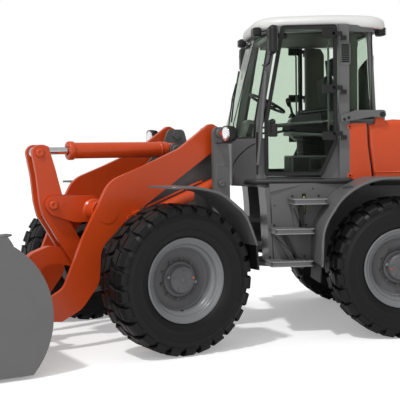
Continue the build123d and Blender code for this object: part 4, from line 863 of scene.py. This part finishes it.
class LOADER_OT_controls(bpy.types.Operator):
    """Steering wheel and column, pedals, arm console with its lever, and the cab's linings"""
    bl_idname = "loader.controls"
    bl_label = "Controls"

    def execute(self, context):
        p = Piece("steering_wheel", REAR)
        top = Vector((-270, 0, 2150))
        tilt = Matrix.Translation(top) @ Matrix.Rotation(math.radians(-28), 4, "Y")

        def on(x, y, z):
            return tilt @ Vector((x, y, z))
        radius, chords = 185, 72
        angles = [2 * math.pi * k / chords for k in range(chords)]
        ring = [on(radius * math.cos(a), radius * math.sin(a), 0) for a in angles]
        p.sweep("seal_black", ring, 14, 14, closed=True)
        for a in (0, 120, 240):
            c, s = math.cos(math.radians(a)), math.sin(math.radians(a))
            for off in (-11, 11):
                # distance from the hub, share of the offset, depth
                spoke = [on(r * c - off * s * k, r * s + off * c * k, z)
                         for r, k, z in ((30, 1, -16), (120, 1, -12), (184, 0.6, 0))]
                p.sweep("trim_black", spoke, 7, 8)
        axis = tilt.to_3x3() @ Vector((0, 0, 1))
        p.lathe("trim_black", [(40, -60), (52, -30), (52, -8), (44, 4), (20, 10), (0, 10)], top, axis, 40)
        p.rod("trim_black", top - axis * 60, (0, 0, 1500), 40, 32, 52)
        p.box("trim_black", (-40, 0, 1465), (150, 150, 40), bevel=14)
        p.box("console_grey", (-75, 0, 1880), (120, 300, 210), (0, -16, 0), 36, 4)
        p.box("trim_black", (-136, 0, 1950), (26, 210, 90), (0, -34, 0), 10, 3)
        p.rod("trim_black", (-190, 50, 2080), (-230, 170, 2112), 9, 12)
        for y, size in ((-170, 90), (120, 70), (215, 70)):
            p.box("trim_black", (-40, y, 1500), (26, size, 110), (0, 40, 0), 8)
        p.make("rear_frame", ["steering_column"])
        p = Piece("arm_console", REAR)
        y = -335
        side = softened([(-545, 1990), (-556, 1836), (-630, 1772), (-890, 1790), (-948, 2030), (-900, 2066),
            (-640, 2046)], 40, 4)
        p.plate("console_grey", side, -415, -255)
        p.box("trim_black", (-760, y, 2066), (240, 110, 34), (0, -4, 0), 14, 3)
        p.lathe("seal_black", [(44, 0), (40, 14), (30, 22), (26, 36), (16, 44), (0, 46)], (-590, y, 2020),
            (0.15, 0, 1), 28)
        p.sweep("trim_black", [(-588, y, 2050), (-576, y, 2110), (-556, y, 2160)], 13, 14)
        p.lathe("trim_black", [(14, -50), (22, -36), (26, 0), (25, 26), (16, 40), (0, 44)], (-548, y, 2180),
            (0.25, 0, 1), 28)
        for k in range(4):
            p.box("trim_black", (-650, -300 - k * 26, 2050), (40, 18, 8), bevel=2)
        p.box("console_grey", (-740, y, 1620), (200, 110, 330), bevel=14)
        p.make("rear_frame", ["control_console"])
        for tag, where in both_sides(REAR):
            p = Piece(f"pillar_lining_{tag}", where)
            lining = softened([(-815, 1520), (-815, 2700), (-850, 2762), (-960, 2762), (-1000, 2700), (-1000, 1520)],
                26, 4)
            p.plate("lining", lining, 655, 678)
            p.box("lining", (-908, 650, 2120), (120, 12, 1100), bevel=5)
            p.make("rear_frame")
        p = Piece("cab_lining", REAR)
        p.box("lining", (-700, 0, 2778), (860, 1100, 18), bevel=6)
        p.box("lining", (-330, 0, 2752), (90, 1040, 46), bevel=14)
        for y in (-150, -50, 50, 150):
            p.box("trim_black", (-380, y, 2742), (26, 70, 26), (0, 30, 0), 6)
        p.box("trim_black", (-560, 0, 1434), (860, 1180, 8))
        p.make("rear_frame")
        return {"FINISHED"}


# ---------------------------------------------------------------- hood and tail
class LOADER_OT_hood(bpy.types.Operator):
    """Panel seams, bolts and tabs, pivot caps, side louvres, exhaust stack and tail lamps"""
    bl_idname = "loader.hood"
    bl_label = "Hood and tail"

    def execute(self, context):
        for tag, where in both_sides(REAR):
            p = Piece(f"panel_fixings_{tag}", where)
            for z in (1895, 1445):
                p.box("body_orange", (-905, 757, z), (48, 10, 40), bevel=8)
                bolt(p, "seal_black", (-905, 761, z), 8, 6)
            p.sweep("seal_black", [(-1068, 752, 1926), (-1079, 752, 1722), (-1122, 752, 1414)], 6, 8)
            p.make("rear_frame")
            p = Piece(f"arm_bolts_{tag}", where)
            cap(p, "trim_black", (-1205, 785, 2005), 24, 9)
            for x, z in ((-850, 1962), (-890, 1976)):
                bolt(p, "trim_black", (x, 785, z), 11, 7)
            p.make("rear_frame")
            p = Piece(f"hood_trim_{tag}", where)
            face = 735
            p.sweep("body_orange", [(-1140, face, 1470), (-1800, face, 1476), (-2440, face, 1470)], 6, 10)
            tree = row_tree("Side louvre row", "trim_black")

            def slat(part):
                part.box("trim_black", (0, 0, 0), (300, 5, 12), bevel=2)
            start = Matrix.Translation((-2230, face, 1540))
            add_copies(p, tree, slat, start, "trim_black", Count=8, Step=(-4.0, 0, 30.0))
            p.box("trim_black", (-1900, face + 3, 1520), (60, 14, 34), bevel=6)
            p.make("hood_lid")
            p = Piece(f"tail_lamps_{tag}", where)
            p.box("trim_black", (-2674, 640, 1500), (26, 120, 260), bevel=8)
            for z, look in ((1560, "lens_red"), (1500, "lens_amber"), (1440, "lamp_lens")):
                p.box(look, (-2690, 640, z), (10, 96, 50), bevel=4)
            p.make("rear_frame")
        p = Piece("exhaust_pipe", REAR)
        x, y, r, wall, foot, tip, slant = -1345, -250, 77, 6, 1570, 2640, 150

        def ring(radius, height):
            """Points round the pipe; height takes the mouth's own height there."""
            points = []
            for k in range(40):
                a = 2 * math.pi * k / 40
                dx, dy = math.cos(a), math.sin(a)
                mouth = tip - slant * (0.5 + 0.5 * dx) ** 1.4
                points.append((x + radius * dx, y + radius * dy, height(mouth)))
            return points
        rings = [ring(r, lambda mouth, t=level / 23: foot + (mouth - foot) * t) for level in range(24)]
        rings += [ring(r - wall, lambda mouth, t=t: mouth + 2 - t * 300) for t in (0.0, 0.5, 1.0)]
        made = p.skin("stack_grey", rings)
        p.close("stack_grey", made[-1], made[0])
        p.lathe("stack_grey", [(94, 0), (94, 16), (84, 26), (78, 40)], (x, y, 1925), (0, 0, 1), 40)
        p.box("body_orange", (-1396, y, 1860), (308, 192, 128), bevel=10)
        p.make("rear_frame", ["exhaust_stack"])
        p = Piece("tail_bolts", REAR)
        for y in (-500, 500):
            for z in (760, 1040):
                p.lathe("dark_grey", [(34, -1), (34, 0.4), (24, 0.4), (20, -6), (0, -6)], (-2699, y, z), (-1, 0, 0),
                    32)
        p.make("rear_frame")
        return {"FINISHED"}


# ---------------------------------------------------------------- steps, fenders and lamps
STEPS = (
    # front edge, rear edge, height of the tread
    (-325, -640, 1245), (-155, -520, 980), (-112, -505, 688))


class LOADER_OT_steps(bpy.types.Operator):
    """Step ears with bolts, painted step shadows drawn as grey, dark grey and black diagonal strips, grip studs, fuel
    gauge and side panel facet
    """
    bl_idname = "loader.steps"
    bl_label = "Steps"

    def execute(self, context):
        grip = row_tree("Grip row", "trim_black")
        for tag, where in both_sides(REAR):
            p = Piece(f"step_fittings_{tag}", where)
            for front, rear, z in STEPS:
                for x in (front - 40, rear + 30):
                    ear = softened([(x - 34, z - 40), (x + 34, z - 40), (x + 24, z + 44), (x - 24, z + 44)], 24, 4)
                    p.plate("machine_grey", ear, 742, 750)
                    bolt(p, "seal_black", (x, 750, z + 18), 8, 6)
                edge = arch([(front + 1, 750), (front - 14, 986), (rear - 1, 986), (rear - 1, 800)], 26)
                for drop in (3, 44):
                    p.sweep("step_grey", [(x, y, z - drop) for x, y in edge], 4.5, 8)

                def tooth(part):
                    part.rod("trim_black", (0, 0, 0), (0, 0, 5), 9, 12, 6.5)
                pitch = 40.0
                n = int((front - rear - 70) / pitch)
                for y in (800, 850, 900, 950):
                    start = Matrix.Translation((front - 42, y, z))
                    add_copies(p, grip, tooth, start, "machine_grey", Count=n, Step=(-pitch, 0, 0))
            # Painted shadow of each step on the side panel: a grey and a dark grey diagonal strip with a black slot
            # line, running down to the next step.
            for (xa, _, za), (xb, _, zb) in zip(STEPS, STEPS[1:]):
                for shift in (0, 74):
                    step_shadow_band = [
                        (xa - 28 - shift, za - 44), (xa - 62 - shift, za - 44), (xb - 292 - shift * 0.2, zb - 8),
                        (xb - 250 - shift * 0.2, zb - 8)]
                    p.plate("dark_grey" if shift else "machine_grey", step_shadow_band, 775, 783)
                slot = [(xa - 42, za - 90), (xa - 52, za - 90), (xb - 276, zb + 34), (xb - 262, zb + 34)]
                p.plate("trim_black", slot, 783, 784)
                bolt(p, "seal_black", (xb - 268, 784, zb + 6), 8, 6)
            p.make("rear_frame")
            p = Piece(f"tank_details_{tag}", where)
            gauge_x = -474
            p.box("trim_black", (gauge_x, 743, 1192), (34, 6, 190), bevel=2)
            p.rod("gauge", (gauge_x, 748, 1110), (gauge_x, 748, 1262), 7, 12)
            for z in (1104, 1272):
                p.box("trim_black", (gauge_x, 749, z), (24, 12, 20), bevel=3)
            wedge = [(-157, 742.5, 1379), (-480, 742.5, 1374), (-152, 760, 1304), (-152, 742.5, 1304)]
            v = [p.bm.verts.new(q) for q in wedge]
            k = p._slot("machine_grey")
            for ids in ((0, 1, 2), (0, 2, 3), (1, 3, 2), (0, 3, 1)):
                p.bm.faces.new([v[i] for i in ids]).material_index = k
            for x, z in ((-560, 1330), (-390, 1110), (-300, 860), (-200, 1180), (-620, 1250)):
                bolt(p, "dark_grey", (x, 742, z), 6, 4)
            p.sweep("machine_grey", [(-146, 745, 1340), (-166, 745, 1150), (-186, 745, 660)], 5, 8)
            p.make("rear_frame")
        return {"FINISHED"}


class LOADER_OT_fenders(bpy.types.Operator):
    """Rolled edges, pressed slits, cross bars with bolts and hanging flaps on the four fenders"""
    bl_idname = "loader.fenders"
    bl_label = "Fenders"

    def execute(self, context):
        for (tag, rear), (_, front) in zip(both_sides(REAR), both_sides(FRONT)):
            p = Piece(f"rear_fender_edge_{tag}", rear)
            line = arch([(-534, 690), (-549, 1008), (-738, 1296), (-1001, 1432), (-1558, 1432), (-1836, 1287),
                (-2006, 1008), (-2026, 905)], 150)
            p.sweep("machine_grey", [(x, 1196, z - 4) for x, z in line], 11, 12)
            p.sweep("dark_grey", [(x, 1190, z - 16) for x, z in line], 7, 8)
            for k in range(3):
                p.box("seal_black", (-800 - k * 14, 960 + k * 60, 1343 + k * 8), (6, 150, 3), (0, -30, 0))
            p.plate("seal_black", [(-532, 690), (-540, 690), (-530, 520), (-518, 520)], 800, 1180)
            p.make("rear_frame")
            p = Piece(f"front_fender_edge_{tag}", front)
            line = arch([(594, 886), (704, 1158), (942, 1341), (1180, 1396), (1418, 1398)], 230)
            p.sweep("machine_grey", [(x, 1192, z - 4) for x, z in line], 11, 12)
            p.sweep("machine_grey", [(x, 782, z - 4) for x, z in line], 8, 10)
            p.rod("machine_grey", (598, 830, 902), (598, 1180, 902), 12, 16)
            for y in (880, 1000, 1130):
                bolt(p, "seal_black", (588, y, 880), 8, 7, (-1, 0, -0.1))
            p.plate("trim_black", [(583, 898), (602, 898), (584, 663), (565, 663)], 818, 1182)
            p.make("front_frame")
        return {"FINISHED"}


class LOADER_OT_headlamps(bpy.types.Operator):
    """Headlamps with rounded housings, reflectors, lenses, brackets and cables"""
    bl_idname = "loader.headlamps"
    bl_label = "Headlamps"

    def execute(self, context):
        for tag, where in both_sides(FRONT):
            p = Piece(f"headlamp_{tag}", where)
            cy, cz = 757, 1838
            body = softened([(cy - 73, cz - 73), (cy + 73, cz - 73), (cy + 73, cz + 73), (cy - 73, cz + 73)], 52, 6)
            rings = []
            # distance forwards, share of the full outline
            for x, s in ((546, 0.62), (555, 0.82), (573, 0.95), (608, 1.0), (627, 1.0), (634, 0.95)):
                rings.append([(x, cy + (y - cy) * s, cz + (z - cz) * s) for y, z in body])
            made = p.skin("trim_black", rings)
            p.close("trim_black", made[0], made[-1])
            p.lathe("reflector", [(60, 0), (58, 1.5), (34, 1), (0, 1.2)], (634, cy, cz), (1, 0, 0), 40)
            p.lathe("reflector", [(64, 0), (64, 4), (58, 4)], (633, cy, cz), (1, 0, 0), 40)
            for y in (-26, 0, 26):
                p.box("reflector", (636, cy + y, cz), (3, 3, 106 - abs(y)))
            p.lathe("lamp_lens", [(64, 0), (62, 4), (46, 7.5), (22, 9), (0, 9.5)], (634.5, cy, cz), (1, 0, 0), 40)
            p.rod("lens_amber", (600, 674, cz), (600, 686, cz), 20, 20)
            p.rod("trim_black", (580, 735, 1750), (580, 735, 1770), 12, 16)
            p.sweep("seal_black", [(552, 757, 1830), (530, 740, 1806), (536, 640, 1776), (560, 560, 1764)], 6, 8)
            p.box("machine_grey", (580, 645, 1759), (40, 230, 12), bevel=2)
            p.make("front_frame", ["headlamps"] if tag == "left" else ())
        return {"FINISHED"}


# ---------------------------------------------------------------- front linkage
TILT_Z = 1708                           # axis of the tilt cylinder
ARM_PIN_X, ARM_PIN_Z = 1650, 1168       # boss where the lift cylinder meets the arm


class LOADER_OT_linkage(bpy.types.Operator):
    """Pin caps, bolts, glands and pipes on the tower, the arms, the crank, the coupler and the cylinders"""
    bl_idname = "loader.linkage"
    bl_label = "Linkage fittings"

    def execute(self, context):
        for tag, where in both_sides(FRONT):
            p = Piece(f"tower_fittings_{tag}", where)
            cap(p, "machine_grey", (560, 541, 1850), 44, 12)
            p.rod("body_orange", (560, 552, 1850), (560, 561, 1850), 22, 6, smooth=False)
            cap(p, "machine_grey", (545, 540, 1389), 34, 10)
            p.rod("seal_black", (575, 530, 1180), (575, 531.5, 1180), 15, 20)
            for x, z in ((500, 1250), (610, 1250), (500, 1560)):
                bolt(p, "machine_grey", (x, 530, z), 9, 7)
            p.box("blank_plate", (560, 530.8, 1500), (76, 1.6, 128), bevel=0.6)
            p.make("front_frame")
            p = Piece(f"arm_fittings_{tag}", where)
            cap(p, "body_orange", (2280, 446, 370), 46, 12)
            for x, z in ((2240, 432), (2318, 430)):
                bolt(p, "body_orange", (x, 445, z), 9, 7)
            p.rod("body_orange", (ARM_PIN_X, 445, ARM_PIN_Z), (ARM_PIN_X, 449, ARM_PIN_Z), 96, 48)
            cap(p, "body_orange", (2030, 157, 1233), 42, 12)
            bolt(p, "body_orange", (1930, 145, 1240), 8, 6)
            p.lathe("body_orange", [(116, 0), (104, 14), (92, 30)], (ARM_PIN_X, 394, ARM_PIN_Z), (0, -1, 0), 48)
            p.lathe("body_orange", [(110, 0), (102, 10), (92, 20)], (ARM_PIN_X, 146, ARM_PIN_Z), (0, 1, 0), 48)
            p.make("lift_arm_pair")
            p = Piece(f"crank_caps_{tag}", where)
            cap(p, "body_orange", (2126, 103, 1693), 40, 10)
            cap(p, "body_orange", (1780, 103, 740), 38, 10)
            bolt(p, "body_orange", (2092, 98, 1640), 8, 6)
            p.make("crank")
            p = Piece(f"coupler_caps_{tag}", where)
            cap(p, "steel", (2260, 103, 600), 38, 10)
            cap(p, "steel", (2325, 500, 632), 20, 6)
            p.make("bucket_and_coupler")
            p = Piece(f"lift_barrel_fittings_{tag}", where)
            a, b = Vector((545, 420, 1389)), Vector((1420, 420, 1055))
            d = (b - a).normalized()
            end = a + d * 820
            p.lathe("body_orange", [(31, -46), (63, -46), (66, -40), (66, -6), (62, 0), (36, 2), (31, 0)], end, d, 48)
            up = Vector((-d.z, 0, d.x))
            # distance along the barrel, height over its axis
            pipe = [a + d * along + up * high for along, high in (
                (130, 52), (130, 74), (170, 78), (720, 78), (752, 70), (760, 52))]
            p.sweep("body_orange", pipe, 9, 10)
            p.make(f"lift_barrel_{tag}")
        p = Piece("tilt_barrel_fittings", FRONT)
        p.lathe("body_orange", [(33, -52), (80, -52), (84, -46), (84, -8), (80, 0), (40, 3), (33, 0)],
            (1830, 0, TILT_Z), (1, 0, 0), 56)
        p.lathe("seal_black", [(40, 0), (40, 2.5), (33, 3)], (1832, 0, TILT_Z), (1, 0, 0), 40)
        p.lathe("body_orange", [(72, -14), (76, -10), (76, 10), (72, 14)], (905, 0, TILT_Z), (1, 0, 0), 56)
        p.make("tilt_barrel_body")
        p = Piece("tilt_eye_caps", FRONT)
        for y in (1, -1):
            cap(p, "machine_grey", (780, y * 100, TILT_Z), 42, 10, (0, y, 0))
        p.make("front_frame")
        p = Piece("tilt_rod_neck", FRONT)
        p.lathe("body_orange", [(33, 0), (42, 4), (46, 20), (46, 46), (42, 60)], (2012, 0, TILT_Z), (1, 0, 0), 40)
        p.make("tilt_rod_body")
        return {"FINISHED"}


class LOADER_OT_bucket(bpy.types.Operator):
    """Bolts of the cutting edge and the sides, wear strips and hooks on the bucket"""
    bl_idname = "loader.bucket"
    bl_label = "Bucket fittings"

    def execute(self, context):
        p = Piece("bucket_fittings", FRONT)
        for side in (1, -1):
            for x, z in ((3400, 120), (3370, 220), (3340, 320)):
                bolt(p, "bucket_grey", (x, side * 1212, z), 11, 7, (0, side, 0))
            for y in (-900 * side, -300 * side):
                p.box("bucket_grey", (3000, y, 22), (690, 70, 18), bevel=3)
            loop = [(2846, 1136, 1086), (2778, 1136, 1090), (2752, 1170, 1088), (2778, 1204, 1086),
                (2846, 1204, 1084)]
            p.sweep("bucket_grey", [(x, side * y, z) for x, y, z in loop], 8, 12)
        for k in range(9):
            y = -1120 + 280 * k
            bolt(p, "bucket_grey", (3330, y, 32), 13, 9, (0, 0, 1))
        p.make("bucket_and_coupler")
        return {"FINISHED"}


# ---------------------------------------------------------------- stage
class LOADER_OT_finish(bpy.types.Operator):
    """Gives each solid of the frame the finish of its slot"""
    bl_idname = "loader.finish"
    bl_label = "Frame finishes"

    def execute(self, context):
        make_materials(looks().body_colour, looks().frame_colour)
        for part in frame["record"]["subparts"]:
            ob = frame["nodes"][part["node"]]
            ob.data.materials.clear()
            slot = part["material_slot"]
            ob.data.materials.append(M[SLOT_LOOK.get(slot, slot)])
        return {"FINISHED"}


def in_sight(t, clamp=False):
    """One for a ray that the camera sends, straight or through glass."""
    path = add_node(t, "ShaderNodeLightPath")
    total = add_node(t, "ShaderNodeMath", {
        0: path.outputs["Is Camera Ray"], 1: path.outputs["Is Transmission Ray"]}, operation="ADD", use_clamp=clamp)
    return total.outputs["Value"]


class LOADER_OT_stage(bpy.types.Operator):
    """Pale floor, soft lamps and the camera"""
    bl_idname = "loader.stage"
    bl_label = "Stage"

    def execute(self, context):
        scene = context.scene
        scene.view_settings.view_transform = "Standard"
        floor_mesh = bpy.data.meshes.new("floor")
        floor_mesh.from_pydata([(-60, -60, 0), (60, -60, 0), (60, 60, 0), (-60, 60, 0)], [], [(0, 1, 2, 3)])
        floor = bpy.data.objects.new("floor", floor_mesh)
        scene.collection.objects.link(floor)
        m, t, shader = new_material("Studio floor")
        part = add_node(t, "ShaderNodeMath", {0: in_sight(t), 1: 0.3}, operation="MULTIPLY")
        glow = add_node(t, "ShaderNodeEmission", {"Strength": part.outputs["Value"]})
        add = add_node(t, "ShaderNodeAddShader", {0: shader.outputs["BSDF"], 1: glow.outputs["Emission"]})
        set_inputs(t, shader, {
            "Base Color": (*looks().floor_colour, 1), "Roughness": 0.9, "Specular IOR Level": 0.1})
        set_inputs(t, t.nodes["Material Output"], {"Surface": add.outputs["Shader"]})
        floor_mesh.materials.append(m)
        world = bpy.data.worlds.new("Studio")
        scene.world = world
        world.use_nodes = True
        t = world.node_tree
        level = add_node(t, "ShaderNodeMapRange", {"To Min": 0.5, "To Max": 1.0, "Value": in_sight(t, True)})
        set_inputs(t, t.nodes["Background"], {"Color": (1, 1, 1, 1), "Strength": level.outputs["Result"]})
        sun = bpy.data.lights.new("Key", "SUN")
        sun.energy = 1.7
        sun.angle = math.radians(4)
        key = bpy.data.objects.new("Key", sun)
        key.rotation_euler = Vector((0.36, 0.42, 0.9)).to_track_quat("Z", "Y").to_euler()
        scene.collection.objects.link(key)
        soft = bpy.data.lights.new("Fill", "AREA")
        soft.energy = 190
        soft.size = 6
        fill = bpy.data.objects.new("Fill", soft)
        fill.location = (3.5, 9.5, 4.5)
        fill.rotation_euler = (fill.location - Vector((0, 0, 1.2))).to_track_quat("Z", "Y").to_euler()
        scene.collection.objects.link(fill)
        cam_data = bpy.data.cameras.new("Camera")
        cam_data.sensor_width = 36
        cam_data.lens = 83.4
        cam_data.clip_end = 200
        cam = bpy.data.objects.new("Camera", cam_data)
        cam.location = (0.817, 8.474, 1.697)
        ahead = Vector((-0.0969, -0.9937, -0.0537)).to_track_quat("-Z", "Y")
        cam.rotation_euler = (ahead.to_matrix() @ Matrix.Rotation(math.radians(-0.77), 3, "Z")).to_euler()
        scene.collection.objects.link(cam)
        scene.camera = cam
        return {"FINISHED"}


OPERATORS = (
    LOADER_OT_finish, LOADER_OT_tyres, LOADER_OT_rims, LOADER_OT_doors, LOADER_OT_cab_trim, LOADER_OT_roof,
    LOADER_OT_mirrors, LOADER_OT_seat, LOADER_OT_controls, LOADER_OT_hood, LOADER_OT_steps, LOADER_OT_fenders,
    LOADER_OT_headlamps, LOADER_OT_linkage, LOADER_OT_bucket, LOADER_OT_stage)


class LOADER_PT_panel(bpy.types.Panel):
    """Lists the loader's settings and its pieces"""
    bl_idname = "LOADER_PT_panel"
    bl_label = "Wheel loader"
    bl_space_type = "VIEW_3D"
    bl_region_type = "UI"
    bl_category = "Loader"

    def draw(self, context):
        for prop in LoaderLooks.__annotations__:
            self.layout.prop(context.scene.loader_looks, prop)
        for op in OPERATORS:
            self.layout.operator(op.bl_idname)


CLASSES = (LoaderLooks, *OPERATORS, LOADER_PT_panel)


def register():
    for c in CLASSES:
        bpy.utils.register_class(c)
    bpy.types.Scene.loader_looks = bpy.props.PointerProperty(type=LoaderLooks)


def unregister():
    del bpy.types.Scene.loader_looks
    for c in reversed(CLASSES):
        bpy.utils.unregister_class(c)


def main():
    register()
    for op in OPERATORS:
        group, name = op.bl_idname.split(".")
        getattr(getattr(bpy.ops, group), name)()


if __name__ == "__main__":
    main()
